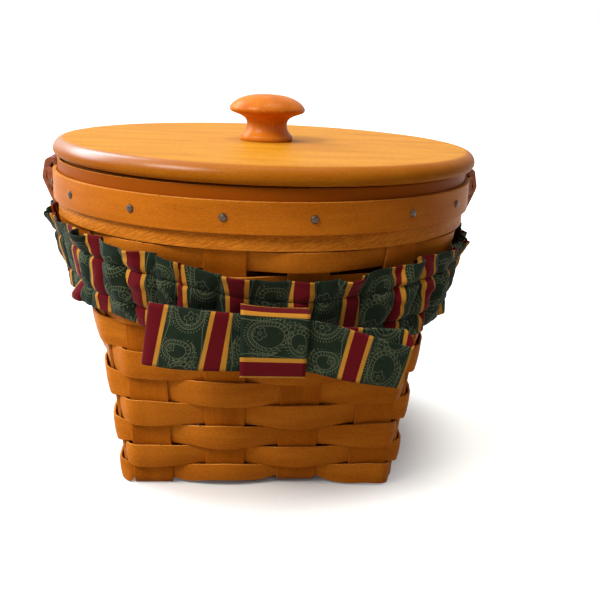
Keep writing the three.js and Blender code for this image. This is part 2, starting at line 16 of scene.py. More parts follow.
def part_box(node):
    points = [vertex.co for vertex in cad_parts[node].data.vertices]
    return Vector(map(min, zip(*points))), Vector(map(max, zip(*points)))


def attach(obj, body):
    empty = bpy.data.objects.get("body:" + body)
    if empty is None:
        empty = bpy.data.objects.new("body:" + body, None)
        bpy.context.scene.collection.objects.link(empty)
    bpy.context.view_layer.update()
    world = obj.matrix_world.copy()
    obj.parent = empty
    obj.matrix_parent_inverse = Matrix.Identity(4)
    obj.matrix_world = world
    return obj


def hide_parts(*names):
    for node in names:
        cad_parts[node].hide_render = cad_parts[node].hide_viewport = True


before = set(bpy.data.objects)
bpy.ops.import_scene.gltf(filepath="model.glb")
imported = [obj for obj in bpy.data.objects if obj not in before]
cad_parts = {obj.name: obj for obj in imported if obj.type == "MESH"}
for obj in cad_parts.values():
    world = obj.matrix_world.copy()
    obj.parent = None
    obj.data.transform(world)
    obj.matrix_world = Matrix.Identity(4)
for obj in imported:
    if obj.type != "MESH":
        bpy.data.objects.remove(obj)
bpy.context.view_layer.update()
MM = 0.001

# %% [markdown]
# ## Camera
# The camera comes first, because every later choice is judged through it. Its place was
# worked out from the rim's ellipses and the corners of the foot. The basket was photographed
# from a little above the lid, and the camera was held slightly askew.

# %% The camera
CAMERA_PLACE = Vector((-14.233, -485.548, 222.954)) * MM
CAMERA_AIM = Vector((23.338, -0.78, 82.422)) * MM
CAMERA_ROLL = 0.0365
LENS = 51.544


def add_camera():
    data = bpy.data.cameras.new("camera")
    data.lens = LENS
    data.sensor_width = 36
    camera = bpy.data.objects.new("camera", data)
    bpy.context.scene.collection.objects.link(camera)
    ahead = (CAMERA_AIM - CAMERA_PLACE).normalized()
    right = ahead.cross(Vector((0, 0, 1))).normalized()
    up = right.cross(ahead)
    turn = Matrix.Rotation(CAMERA_ROLL, 3, ahead * -1)
    axes = Matrix((turn @ right, turn @ up, turn @ -ahead)).transposed()
    camera.matrix_world = Matrix.Translation(CAMERA_PLACE) @ axes.to_4x4()
    bpy.context.scene.camera = camera


add_camera()
print("camera to its aim:", round((CAMERA_AIM - CAMERA_PLACE).length, 3), "m")

# %% [markdown]
# ## Shader maths
# A wood or cloth pattern is a sum of many small masks. Wired by hand, that is a wall of Math
# nodes. This class wraps one socket, so that the maths can be written as Python expressions,
# and its node method adds any other kind of node.

# %% Sockets that can be added and multiplied
class Wire:
    """A shader socket in a node tree. An operation on wires adds a Math node."""

    def __init__(self, tree, socket=None):
        self.tree = tree
        self.socket = socket

    def node(self, kind, settings, inputs, output=0):
        """Adds a node with its settings, then its input values or wires."""
        made = self.tree.nodes.new(kind)
        for key, value in settings.items():
            setattr(made, key, value)
        for key, value in inputs.items():
            if isinstance(value, Wire):
                self.tree.links.new(value.socket, made.inputs[key])
            else:
                made.inputs[key].default_value = value
        return Wire(self.tree, made.outputs[output])

    def maths(self, operation, *others):
        inputs = {0: self, **{i + 1: other for i, other in enumerate(others)}}
        return self.node("ShaderNodeMath", {"operation": operation}, inputs)

    def reflected(self, operation, first):
        return self.node("ShaderNodeMath", {"operation": operation}, {0: first, 1: self})

    def __add__(self, other):
        return self.maths("ADD", other)

    def __radd__(self, other):
        return self.maths("ADD", other)

    def __sub__(self, other):
        return self.maths("SUBTRACT", other)

    def __rsub__(self, other):
        return self.reflected("SUBTRACT", other)

    def __mul__(self, other):
        return self.maths("MULTIPLY", other)

    def __rmul__(self, other):
        return self.maths("MULTIPLY", other)

    def __truediv__(self, other):
        return self.maths("DIVIDE", other)

    def __rtruediv__(self, other):
        return self.reflected("DIVIDE", other)

    def __mod__(self, other):
        return self.maths("FLOORED_MODULO", other)

    def __pow__(self, other):
        return self.maths("POWER", other)

    def __lt__(self, other):
        return self.maths("LESS_THAN", other)

    def __gt__(self, other):
        return self.maths("GREATER_THAN", other)

    def __abs__(self):
        return self.maths("ABSOLUTE")

    def scaled(self, x, y, z):
        """The vector with its three parts multiplied."""
        return self.node("ShaderNodeVectorMath", {"operation": "MULTIPLY"}, {0: self, 1: (x, y, z)})

    def parts(self):
        first = self.node("ShaderNodeSeparateXYZ", {}, {0: self})
        outputs = first.socket.node.outputs
        return [Wire(self.tree, socket) for socket in outputs]

    def speckle(self, detail=2.0, roughness=0.5):
        """Noise at this vector, in units of its own cells."""
        settings = {"noise_dimensions": "3D"}
        inputs = {"Vector": self, "Scale": 1.0, "Detail": detail, "Roughness": roughness}
        return self.node("ShaderNodeTexNoise", settings, inputs)

    def soft_step(self, low, high):
        """0 below low, 1 above high and smooth between them."""
        settings = {"interpolation_type": "SMOOTHSTEP"}
        return self.node("ShaderNodeMapRange", settings, {0: self, 1: low, 2: high})

    def mix(self, low_colour, high_colour):
        """A colour between two, with this wire as the share of the second."""
        inputs = {0: self, 6: low_colour, 7: high_colour}
        return self.node("ShaderNodeMix", {"data_type": "RGBA"}, inputs, 2)

    def bump(self, strength, distance):
        """A normal that takes this wire as the surface's height."""
        inputs = {"Strength": strength, "Distance": distance, "Height": self}
        return self.node("ShaderNodeBump", {}, inputs)


def rgb(red, green, blue):
    """A colour as a picture editor shows it, 0 to 255, turned into linear light."""
    share = [x / 255 for x in (red, green, blue)]
    return (*[x / 12.92 if x <= 0.04045 else ((x + 0.055) / 1.055) ** 2.4 for x in share], 1)


def new_material(name):
    material = bpy.data.materials.new(name)
    material.use_nodes = True
    material.node_tree.nodes.clear()
    return material, Wire(material.node_tree)


def object_place(start):
    """The place on a solid piece, in millimetres."""
    return start.node("ShaderNodeTexCoord", {}, {}, 3).scaled(1000, 1000, 1000)


def strip_place(start):
    """The place along and across a strip, in millimetres of the flat strip."""
    return start.node("ShaderNodeUVMap", {"uv_map": "strip"}, {}).scaled(1000, 1000, 1000)


def finish_material(start, surface):
    output = start.tree.nodes.new("ShaderNodeOutputMaterial")
    start.tree.links.new(surface.socket, output.inputs["Surface"])


def finish_surface(start, inputs):
    finish_material(start, start.node("ShaderNodeBsdfPrincipled", {}, inputs))


# %% [markdown]
# ## Stained wood
# The splints are maple, stained honey orange and lightly varnished. Close up, maple has long
# faint streaks, short dark ticks along the grain and slow cloudy changes where the stain took
# unevenly. The upper band still has slanted ripples from the saw, and its top is darkened with
# painted shade where the lid shadows it. The lid's rounded edge is darker and polished. Every
# splint is a strip, so its UV map runs along the strip in metres and the streaks follow each
# bend. The lid and knob are solid wood, so they use the object's space. One function makes all
# of these woods.

# %% Saw ripples, painted shade under the lid, and the lid's edge
RIPPLE_SLANT = 0.4
RIPPLE_SIZE = (6, 0.8, 1)
LID_SHADE_FADE = (2.0, 9.0)
LID_SHIFT = 1.3
LID_EDGE = (108.5, 112.0)
LID_SHINE = (169.8, 173.6)
LEFT_FADE = (-85, 5)


def add_ripples_and_lid_shade(grain, shade, height, curl):
    """Slanted ripples on the lower part of a strip, and painted shade along its top, under the lid."""
    turned = {0: grain, 2: (0, 0, RIPPLE_SLANT), 3: RIPPLE_SIZE}
    slanted = grain.node("ShaderNodeMapping", {"vector_type": "TEXTURE"}, turned)
    # The strip's top is darkened as painted shade, where the lid's overhang would shadow it
    upper = grain.parts()[1].soft_step(*LID_SHADE_FADE)
    ripple = slanted.speckle(1, 0.4).soft_step(0.4, 0.7) * (1 - 0.8 * upper)
    return shade + upper * 1.1 - ripple * curl, height + ripple * (4 * curl)


def darken_edge(place, fine, colour, edge_colour, polish):
    """The lid's rounded edge, darker and polished most at the left. Returns colour and coat."""
    x, y, z = place.parts()
    radius = ((x - LID_SHIFT) * (x - LID_SHIFT) + y * y).maths("SQRT")
    edge = radius.soft_step(*LID_EDGE)
    worn = fine.soft_step(0.3, 0.7)
    left = 1 - x.soft_step(*LEFT_FADE)
    colour = (edge * (0.75 + 0.15 * left - 0.3 * worn)).mix(colour, edge_colour)
    coat = z.soft_step(*LID_SHINE) * (polish - 0.25 * worn)
    return colour, edge * coat * (0.1 + 0.9 * left)


# %% The wood material
TICK = rgb(92, 42, 12)
WARM_SHINE = rgb(255, 200, 140)


def wood_material(name, light, dark, on_strip=True, polish=0.06, turn=0.0, curl=0.0, edge=None):
    """Stained maple. Curl adds saw ripples and painted shade at the top; an edge colour darkens the
    lid's edge.
    """
    material, start = new_material(name)
    place = strip_place(start) if on_strip else object_place(start)
    grain = start.node("ShaderNodeMapping", {}, {0: place, 2: (0, turn, 0)}) if turn else place
    streaks = grain.scaled(0.03, 0.9, 0.9).speckle(3, 0.55)
    fine = grain.scaled(0.55, 1.9, 1.9).speckle(3, 0.65)
    cloud = grain.scaled(0.02, 0.08, 0.08).speckle(2, 0.5)
    ticks = grain.scaled(0.5, 3.2, 3.2).speckle(1, 0.4).soft_step(0.69, 0.77)
    shade = streaks.soft_step(0.3, 0.75) * 0.16 + cloud.soft_step(0.35, 0.7) * 0.4
    shade = shade + fine.soft_step(0.3, 0.7) * 0.44
    height = fine * 0.35 + streaks * 0.3 - ticks * 0.5
    if curl:
        shade, height = add_ripples_and_lid_shade(grain, shade, height, curl)
    colour = (ticks * 0.8).mix(shade.mix(light, dark), TICK)
    coat = 0.2 * polish
    if edge:
        colour, coat = darken_edge(place, fine, colour, edge, polish)
    inputs = {"Base Color": colour, "Roughness": 0.38 + 0.16 * fine + 0.2 * ticks}
    inputs.update({"Normal": height.bump(0.3, 0.0002)})
    inputs.update({"Coat Weight": coat, "Coat Roughness": 0.3, "Coat IOR": 1.62})
    inputs.update({"Specular IOR Level": 0.03, "Specular Tint": WARM_SHINE})
    finish_surface(start, inputs)
    print("wood:", name)
    return material


stake_wood = wood_material("stake_wood", rgb(194, 108, 24), rgb(148, 72, 8))
weft_wood = wood_material("weft_wood", rgb(208, 122, 34), rgb(164, 84, 12))
# The outer band carries the saw ripples and the painted shade along its top
band_wood = wood_material("band_wood", rgb(214, 128, 38), rgb(150, 74, 10), curl=0.4)
rim_wood = wood_material("rim_wood", rgb(204, 116, 26), rgb(160, 82, 8), polish=0.2)
# The splints' cut edges get a paler wood, a painted highlight along every edge
edge_highlight_wood = wood_material("cut_edge_highlight_wood", rgb(224, 150, 68), rgb(174, 102, 34))
lid_wood = wood_material(
    "lid_wood", rgb(208, 143, 38), rgb(178, 109, 18), False, 1.0, edge=rgb(146, 66, 5))
knob_wood = wood_material(
    "knob_wood", rgb(214, 124, 30), rgb(176, 86, 8), False, 1.0, turn=math.pi / 2)

# %% [markdown]
# ## The wall's shape
# At the foot the wall is a square with small round corners, and at the rim it is a circle.
# Between them it is a blend of the two. A place on the wall is counted in stakes, from the
# front left one anticlockwise, so 1.5 is the middle of the front. All sizes are millimetres.

# %% A point on the wall
SIDE_STAKES = 4
STAKES = 4 * SIDE_STAKES
FOOT_HALF = 70
FOOT_CORNER = 5
STAKE_PITCH = 37.4
STAKE_WIDTH = 19.9
STAKE_THICK = 1.4
STAKE_CIRCLE = 108.92
WALL_HEIGHT = 136.6
WALL_CURVE = 1.15
OUTER_STAKE = STAKE_PITCH * (SIDE_STAKES - 1) / 2
CORNER_SPAN = math.pi / 2 * FOOT_CORNER + 2 * (FOOT_HALF - FOOT_CORNER - OUTER_STAKE)
FOOT_ARCH = 2.05
FOOT_ARCH_REACH = 15
# Degrees by which each stake stands off even spacing at the rim
RIM_DRIFT = [0.4, 0.9, -1.2, 2.7, 0.6, 0.2, -0.4, 0.5, -0.8, 0.6, -0.3, 0.7, -0.5, 0.3, -0.2, -0.5]


def turned_2d(vector, quarters):
    angle = quarters * math.pi / 2
    return Vector((
        vector.x * math.cos(angle) - vector.y * math.sin(angle),
        vector.x * math.sin(angle) + vector.y * math.cos(angle),
    ))


def square_at(place):
    """The foot's outline at a place, and its outward normal."""
    side = math.floor((place + 0.5) / SIDE_STAKES)
    lane = place - side * SIDE_STAKES
    along = (lane - (SIDE_STAKES - 1) / 2) * STAKE_PITCH
    if lane < 0:
        along = -OUTER_STAKE + lane * CORNER_SPAN
    if lane > SIDE_STAKES - 1:
        along = OUTER_STAKE + (lane - SIDE_STAKES + 1) * CORNER_SPAN
    flat = FOOT_HALF - FOOT_CORNER
    point, normal = Vector((along, -FOOT_HALF)), Vector((0, -1))
    if abs(along) > flat:
        turn = (abs(along) - flat) / FOOT_CORNER
        hand = math.copysign(1, along)
        normal = Vector((hand * math.sin(turn), -math.cos(turn)))
        point = Vector((hand * flat, -flat)) + normal * FOOT_CORNER
    return turned_2d(point, side), turned_2d(normal, side)


def angle_at(place):
    """The angle from the front middle, with the hand-woven drift between stakes."""
    stake = math.floor(place)
    near, far = RIM_DRIFT[stake % STAKES], RIM_DRIFT[(stake + 1) % STAKES]
    drift = near + (far - near) * (place - stake)
    return (place - (SIDE_STAKES - 1) / 2) * 2 * math.pi / STAKES + math.radians(drift)


def wall_at(place, height, out=0.0):
    """A point of the wall, moved out by a distance, and the outward normal."""
    foot, foot_normal = square_at(place)
    radial = Vector((math.sin(angle_at(place)), -math.cos(angle_at(place))))
    share = min(1, max(0, height) / WALL_HEIGHT) ** WALL_CURVE
    normal = foot_normal.lerp(radial, share).normalized()
    point = foot.lerp(radial * STAKE_CIRCLE, share) + normal * out
    return Vector((point.x, point.y, height)), Vector((normal.x, normal.y, 0))


def arch_lift(along):
    """The middle of each side of the foot arches a little off the table."""
    full = 1 - 1 / (SIDE_STAKES - 1) ** 2
    return FOOT_ARCH * max(0, 1 - (along / OUTER_STAKE) ** 2) / full


print("front middle at the foot and rim:", wall_at(1.5, 0)[0], wall_at(1.5, WALL_HEIGHT)[0])

# %% [markdown]
# ## Strips
# Almost everything on this basket is a strip: stakes, wefts, rim bands, leather and cloth.
# Each one starts as a flat grid, and every cross line of the grid is carried to its place
# along a smooth curve. A Solidify modifier then gives the strip its thickness and a Bevel
# modifier softens the cut edges. The UV map keeps the flat strip's own size in metres.

# %% A strip from pairs of edge points
def smooth_rows(rows, steps):
    """Rows of numbers, evenly spread along a smooth curve through the given ones."""
    rows = np.array(rows, float)
    gaps = np.linalg.norm(np.diff(rows[:, :3], axis=0), axis=1)
    gaps = np.maximum(gaps, 1e-6)
    slopes = np.diff(rows, axis=0) / gaps[:, None]
    tangents = np.vstack([slopes[:1], np.zeros_like(rows[1:-1]), slopes[-1:]])
    before, after = gaps[:-1, None], gaps[1:, None]
    tangents[1:-1] = (slopes[:-1] * after + slopes[1:] * before) / (before + after)
    lengths = np.concatenate([[0], np.cumsum(gaps)])
    wanted = np.linspace(0, lengths[-1], steps + 1)
    index = np.clip(np.searchsorted(lengths, wanted, side="right") - 1, 0, len(gaps) - 1)
    t = ((wanted - lengths[index]) / gaps[index])[:, None]
    gap = gaps[index][:, None]
    start, end = rows[index], rows[index + 1]
    return (
        (2 * t**3 - 3 * t**2 + 1) * start + (t**3 - 2 * t**2 + t) * gap * tangents[index]
        + (-2 * t**3 + 3 * t**2) * end + (t**3 - t**2) * gap * tangents[index + 1]
    )


def flat_grid(columns, across):
    """A flat grid with, for each vertex, its column and its share across, 0 to 1."""
    bm = bmesh.new()
    bmesh.ops.create_grid(bm, x_segments=columns, y_segments=across, size=1)
    spots = {}
    for vert in bm.verts:
        column = round((vert.co.x + 1) / 2 * columns)
        spots[vert] = (column, (vert.co.y + 1) / 2)
    return bm, spots


def lay_strip(pairs, columns, across, shift=0.0, crown=0.0):
    """A grid laid along pairs of low and high edge points. Returns it and its length."""
    rows = smooth_rows([[*low, *high] for low, high in pairs], columns)
    lows, highs = rows[:, :3], rows[:, 3:]
    middles = (lows + highs) / 2
    steps = np.linalg.norm(np.diff(middles, axis=0), axis=1)
    along = np.concatenate([[0], np.cumsum(steps)])
    widths = np.linalg.norm(highs - lows, axis=1)
    ahead = np.gradient(middles, axis=0)
    out = np.cross(ahead, highs - lows)
    out /= np.linalg.norm(out, axis=1)[:, None]
    bm, spots = flat_grid(columns, across)
    flat = bm.loops.layers.uv.new("strip")
    for vert, (column, share) in spots.items():
        bulge = crown * 4 * share * (1 - share)
        vert.co = Vector(lows[column] * (1 - share) + highs[column] * share + out[column] * bulge)
    for face in bm.faces:
        for loop in face.loops:
            column, share = spots[loop.vert]
            loop[flat].uv = ((along[column] + shift) * MM, (share - 0.5) * widths[column] * MM)
    return bm, float(along[-1]), float(widths.mean())


# %% Turning a mesh into a piece
def add_mesh(name, bm, materials):
    mesh = bpy.data.meshes.new(name)
    bm.to_mesh(mesh)
    bm.free()
    for material in materials:
        mesh.materials.append(material)
    made = bpy.data.objects.new(name, mesh)
    bpy.context.scene.collection.objects.link(made)
    return made


def add_piece(name, bm, materials, body, nodes=()):
    """Millimetres become metres, and the piece rides on a body in place of CAD nodes."""
    bmesh.ops.scale(bm, vec=(MM, MM, MM), verts=bm.verts)
    for face in bm.faces:
        face.smooth = True
    piece = add_mesh(name, bm, materials)
    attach(piece, body)
    if nodes:
        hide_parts(*nodes)
    return piece


def thicken(piece, thick, edge_material=0, soften=0.0, even=True):
    """Gives a sheet its thickness, with its own material on the cut edges."""
    shell = piece.modifiers.new("thickness", "SOLIDIFY")
    shell.thickness = thick * MM
    shell.offset = 0.0
    shell.use_even_offset = even
    shell.material_offset_rim = edge_material
    if soften:
        bevel = piece.modifiers.new("soft_edges", "BEVEL")
        bevel.width = soften * MM
        bevel.segments = 2
        bevel.limit_method = "ANGLE"
        bevel.angle_limit = math.radians(50)
        bevel.harden_normals = True


def add_strip(name, laid, materials, nodes, thick, soften):
    """A stiff strip on the basket. The second material is for its cut edges."""
    bm, length, width = laid
    piece = add_piece(name, bm, materials, "basket", nodes)
    thicken(piece, thick, 1, soften)
    print(f"{name}: {length:.0f} x {width:.1f} mm")


# %% [markdown]
# ## Stakes
# Each stake runs down one wall, across the foot and up the opposite wall. In the foot the two
# sets of stakes cross over and under each other. A strip laid through stations on the wall,
# round the bend and over each crossing gives that in one piece.

# %% The eight stakes
FOOT_BEND = 3.2
CROSS_RISE = 0.85
FOOT_LEVEL = STAKE_THICK / 2 + CROSS_RISE
STAKE_LEVELS = (8, 16, 24, 33, 42, 52, 62, 73, 84, 96, 108, 122, 136.6, 150, 163)
# Each strip takes its own stretch of the endless grain
STRIP_SHIFT = 733.0


def stake_pairs(lane, turned):
    half = STAKE_WIDTH / 2
    offset = (lane - (SIDE_STAKES - 1) / 2) * STAKE_PITCH
    start = STAKES - 1 - lane if turned else lane
    end = SIDE_STAKES + lane if turned else 3 * SIDE_STAKES - 1 - lane
    lengthwise = Vector((1, 0, 0)) if turned else Vector((0, 1, 0))
    sideways = Vector((0, -1, 0)) if turned else Vector((1, 0, 0))
    middle = Vector((0, offset, 0)) if turned else Vector((offset, 0, 0))

    def on_wall(place, hand):
        made = []
        for level in STAKE_LEVELS:
            point, normal = wall_at(place, level)
            side = Vector((-normal.y, normal.x, 0)) * hand
            made.append((point - side * half, point + side * half))
        return made

    def on_floor(along, height):
        point = middle + lengthwise * along + Vector((0, 0, height))
        return point - sideways * half, point + sideways * half

    levels = []
    for cross in range(SIDE_STAKES):
        place = (cross - (SIDE_STAKES - 1) / 2) * STAKE_PITCH
        under = (lane + cross) % 2 == (1 if turned else 0)
        rise = -CROSS_RISE if under else CROSS_RISE
        levels.append((place, FOOT_LEVEL + arch_lift(offset) + arch_lift(place) + rise))

    def bend(place, height, hand):
        reach = abs(wall_at(place, height + FOOT_BEND)[0].dot(lengthwise))
        made = []
        for turn in (0, 30, 60, 90):
            angle = math.radians(turn)
            along = reach - FOOT_BEND + FOOT_BEND * math.cos(angle)
            made.append(on_floor(hand * along, height + FOOT_BEND - FOOT_BEND * math.sin(angle)))
        return made

    pairs = on_wall(start, 1)[::-1] + bend(start, levels[0][1], -1)
    for place, height in levels:
        pairs += [on_floor(place - half * 0.9, height), on_floor(place + half * 0.9, height)]
    return pairs + bend(end, levels[-1][1], 1)[::-1] + on_wall(end, -1)


def make_stakes():
    for turned in (False, True):
        for lane in range(SIDE_STAKES):
            node = f"stake_{'x' if turned else 'y'}_{lane + 1}"
            number = lane + SIDE_STAKES * turned
            laid = lay_strip(stake_pairs(lane, turned), 170, 4, number * STRIP_SHIFT)
            woods = [stake_wood, edge_highlight_wood]
            add_strip(f"{node}_splint", laid, woods, [node], STAKE_THICK, 0.3)


make_stakes()

# %% [markdown]
# ## Wefts
# A weft passes outside one stake and inside the next, and the row above does the opposite.
# Where it bulges out over a stake it spreads, and between two stakes it squeezes past its
# neighbours, so its two edges are given heights of their own at every station.

# %% The ten rows of weft
WEFT_THICK = 1.15
WEFT_CROWN = 0.45
# How far the weft's middle stands off the wall over a stake, and over the stake's edges
WEFT_RISE = 2.65
WEFT_HUG = 1.72
ROW_HEIGHTS = [6.3, 18.4, 30.9, 43.9, 57.2, 71.0, 85.3, 100.3, 116.6, 131.0]
ROWS = len(ROW_HEIGHTS)
# How far each row reaches below and above its middle where it bulges over a stake
ROW_REACH = [(4.6, 7.4), (7.0, 6.5), (7.6, 7.2), (7.6, 7.2), *[(7.3, 7.3)] * 4, (7.0, 6.5), (4.9, 5.2)]
FIRST_ROW_STEP = 12.1
FIRST_ROW_RAISE = 2.4
TOP_ROW_HALF = 4.9
WEFT_HALF = 6.9
ROW_GAP = 0.3
CLOSE_ROWS = (4, 5, 6, 7)
CLOSE_OVERLAP = 0.15
SEAM_HALF = 0.4


def gap_half_width(row):
    """Half the weft's width between two stakes, where the neighbouring rows crowd it."""
    step = ROW_HEIGHTS[row] - ROW_HEIGHTS[row - 1] if row else FIRST_ROW_STEP
    if row in CLOSE_ROWS:
        return step / 2 + CLOSE_OVERLAP
    return TOP_ROW_HALF if row == ROWS - 1 else min(WEFT_HALF, step / 2 - ROW_GAP)


def weft_pairs(row):
    middle = ROW_HEIGHTS[row]
    (below, above), gap_half = ROW_REACH[row], gap_half_width(row)
    reach = STAKE_WIDTH / 2 + 0.2

    def cross_line(place, shift, out, low, high, raise_low=0.0):
        side = math.floor((place + 0.5) / SIDE_STAKES)
        along = (place - side * SIDE_STAKES - (SIDE_STAKES - 1) / 2) * STAKE_PITCH
        ends = []
        for level in (middle - low + raise_low, middle + high):
            lift = arch_lift(along) * max(0, 1 - level / FOOT_ARCH_REACH)
            point, normal = wall_at(place, level + lift, out)
            ends.append(point + Vector((-normal.y, normal.x, 0)) * shift)
        return tuple(ends)

    pairs = []
    for stake in range(STAKES):
        outside = 1 if (stake + row + 1) % 2 == 0 else -1
        if outside > 0:
            low, high, tuck = below, above, 0.0
        else:
            low, high, tuck = gap_half, gap_half, FIRST_ROW_RAISE if row == 0 else 0.0
        edge_low, edge_high = (low + gap_half) / 2, (high + gap_half) / 2
        if row in CLOSE_ROWS:
            edge_low, edge_high = low, high
        pairs.append(cross_line(stake, -reach, outside * WEFT_HUG, edge_low, edge_high, tuck))
        pairs.append(cross_line(stake, 0, outside * WEFT_RISE, low, high, tuck))
        pairs.append(cross_line(stake, reach, outside * WEFT_HUG, edge_low, edge_high, tuck))
        pairs.append(cross_line(stake + 0.5, 0, 0, gap_half, gap_half))
    return pairs


def make_wefts():
    for row in range(ROWS):
        pairs = weft_pairs(row)
        seam = 2 * SIDE_STAKES + (1 if row % 2 == 1 else 0)
        start = 4 * seam + 1
        ring = pairs[start:] + pairs[:start]
        low, high = ring[0]
        ahead = (ring[1][0] - low).normalized() * SEAM_HALF
        first = (low + ahead, high + ahead)
        last = (low - ahead, high - ahead)
        shift = (20 + row) * STRIP_SHIFT
        laid = lay_strip([first, *ring[1:], last], 512, 4, shift, WEFT_CROWN)
        node = f"weft_row_{row + 1:02d}"
        woods = [weft_wood, edge_highlight_wood]
        add_strip(f"{node}_splint", laid, woods, [node], WEFT_THICK, 0.28)


make_wefts()

# %% [markdown]
# ## Rim
# Two bands clamp the ends of the stakes, and a trim strip covers the outer one. They are
# thicker strips bent to a circle, and their ends butt together at the back.

# %% Bands and trim strip
RIM_RADIUS = 114.3
RIM_TOP = 165.2
TRIM_THICK = 2.2
TRIM_TOP = 159.4
TRIM_WIDTH = 14.9
TRIM_LOW = TRIM_TOP - TRIM_WIDTH
OUTER_BAND = 111.8
OUTER_BAND_THICK = 1.4
INNER_BAND = 107.86
INNER_BAND_THICK = 2.2
INNER_BAND_LOW = 138.2


def hoop_pairs(radius, low, high, count=96):
    """Edge points of a band that starts and ends at the back."""
    gap = SEAM_HALF / 2 / radius
    pairs = []
    for i in range(count + 1):
        angle = math.pi + gap + (2 * math.pi - 2 * gap) * i / count
        point = Vector((math.sin(angle) * radius, -math.cos(angle) * radius, 0))
        pairs.append((point + Vector((0, 0, low)), point + Vector((0, 0, high))))
    return pairs


def make_hoop(name, node, wood, outer, thick, low, high, shift):
    laid = lay_strip(hoop_pairs(outer - thick / 2, low, high), 256, 5, shift)
    add_strip(name, laid, [wood, edge_highlight_wood], [node], thick, 0.4)


outer = (band_wood, OUTER_BAND, OUTER_BAND_THICK, WALL_HEIGHT, RIM_TOP)
inner = (rim_wood, INNER_BAND, INNER_BAND_THICK, INNER_BAND_LOW, RIM_TOP)
trim = (rim_wood, RIM_RADIUS, TRIM_THICK, TRIM_LOW, TRIM_TOP)
make_hoop("rim_outer_band", "rim_band_outer", *outer, 40 * STRIP_SHIFT)
make_hoop("rim_inner_band", "rim_band_inner", *inner, 41 * STRIP_SHIFT)
make_hoop("rim_trim", "rim_trim_strip", *trim, 42 * STRIP_SHIFT)

# %% [markdown]
# ## Lid and knob
# The lid is a round board with a bullnosed edge, and its knob is turned on a lathe. Both are
# profiles spun about the lid's own axis. The lid then gets its small shift and tilt.

# %% Turned pieces
LID_RADIUS = 115
LID_THICK = 8.7
LID_TILT = math.radians(0.35)
LID_GAP = 0.3
LID_UNDERSIDE = RIM_TOP + LID_GAP + LID_RADIUS * math.sin(LID_TILT)
LID_PLACE = Matrix.Translation((LID_SHIFT, 0, LID_UNDERSIDE)) @ Matrix.Rotation(LID_TILT, 4, "Y")
LOCATOR_RADIUS = 100.2
LOCATOR_THICK = 6


def spin_profile(profile, steps, place=Matrix.Identity(4)):
    """A closed solid spun from a profile that starts and ends on the axis."""
    bm = bmesh.new()
    verts = [bm.verts.new((radius, 0, height)) for radius, height in profile]
    edges = [bm.edges.new(pair) for pair in zip(verts, verts[1:])]
    bmesh.ops.spin(
        bm, geom=verts + edges, cent=(0, 0, 0), axis=(0, 0, 1), dvec=(0, 0, 0),
        angle=2 * math.pi, steps=steps, use_merge=True, use_duplicate=False,
    )
    bmesh.ops.remove_doubles(bm, verts=bm.verts, dist=1e-4)
    bmesh.ops.recalc_face_normals(bm, faces=bm.faces)
    bmesh.ops.transform(bm, matrix=place, verts=bm.verts)
    return bm


def arc(radius, height, size, start, end, steps):
    """Profile points on a quarter or half round."""
    angles = [math.radians(start + (end - start) * i / steps) for i in range(steps + 1)]
    return [(radius + size * math.cos(a), height + size * math.sin(a)) for a in angles]


def smooth_profile(points, steps):
    rows = smooth_rows([(radius, 0, height) for radius, height in points], steps)
    return [(max(0.0, row[0]), row[2]) for row in rows]


TOP_ROUND = 5.6
LOW_ROUND = 3.0
board_profile = [
    (0, 0), (60, 0),
    *arc(LID_RADIUS - LOW_ROUND, LOW_ROUND, LOW_ROUND, -90, 0, 7),
    *arc(LID_RADIUS - TOP_ROUND, LID_THICK - TOP_ROUND, TOP_ROUND, 0, 90, 12),
    (104, LID_THICK), (60, LID_THICK), (20, LID_THICK), (0, LID_THICK),
]
board = spin_profile(board_profile, 160, LID_PLACE)
add_piece("lid_bullnose_board", board, [lid_wood], "lid", ["lid_board"])

LOCATOR_LOW = -LOCATOR_THICK - LID_GAP
locator_profile = [
    (0, LOCATOR_LOW), (LOCATOR_RADIUS - 1, LOCATOR_LOW), (LOCATOR_RADIUS, LOCATOR_LOW + 1),
    (LOCATOR_RADIUS, -0.2), (0, -0.2),
]
locator = spin_profile(locator_profile, 128, LID_PLACE)
add_piece("lid_locator_board", locator, [lid_wood], "lid", ["lid_locator"])

KNOB_FOOT = LID_THICK + 0.1
knob_curve = [
    (14.3, 0.0), (14.55, 1.2), (14.3, 2.5), (13.2, 3.6), (12.1, 5.0), (11.3, 7.0), (11.1, 9.2),
    (11.9, 11.4), (14.4, 13.2), (18.0, 14.6), (20.3, 15.7), (20.9, 16.9), (20.2, 18.5),
    (17.6, 21.0), (13.6, 23.0), (8.6, 24.3), (4.0, 24.75), (0.0, 24.85),
]
knob_profile = [(0.0, 0.0)] + smooth_profile(knob_curve, 60)
knob_profile = [(radius, height + KNOB_FOOT) for radius, height in knob_profile]
knob = spin_profile(knob_profile, 96, LID_PLACE)
add_piece("turned_knob", knob, [knob_wood], "lid", ["lid_knob"])
print("knob top above the lid:", knob_curve[-1][1], "mm")

# %% [markdown]
# ## Metal
# The tacks are small domed heads of dull steel that has gone brown, and the knob's screw
# shows its head under the lid.

# %% Tacks and screw
def metal_material():
    material, start = new_material("tack_metal")
    mottle = object_place(start).scaled(1.6, 1.6, 1.6).speckle(3, 0.6)
    colour = mottle.soft_step(0.35, 0.7).mix(rgb(88, 73, 61), rgb(52, 40, 32))
    rough = 0.32 + 0.25 * mottle
    finish_surface(start, {"Base Color": colour, "Metallic": 0.8, "Roughness": rough})
    return material


tack_metal = metal_material()
TACK_RADIUS = 1.9
TACK_HEIGHT = 152.0
TACK_DOME = [(0, -1.0), (0.6, -1.0), (0.6, 0.0), (TACK_RADIUS, 0.02), (TACK_RADIUS, 0.25)]
TACK_DOME += [(1.65, 0.62), (1.15, 0.95), (0.55, 1.1), (0, 1.14)]


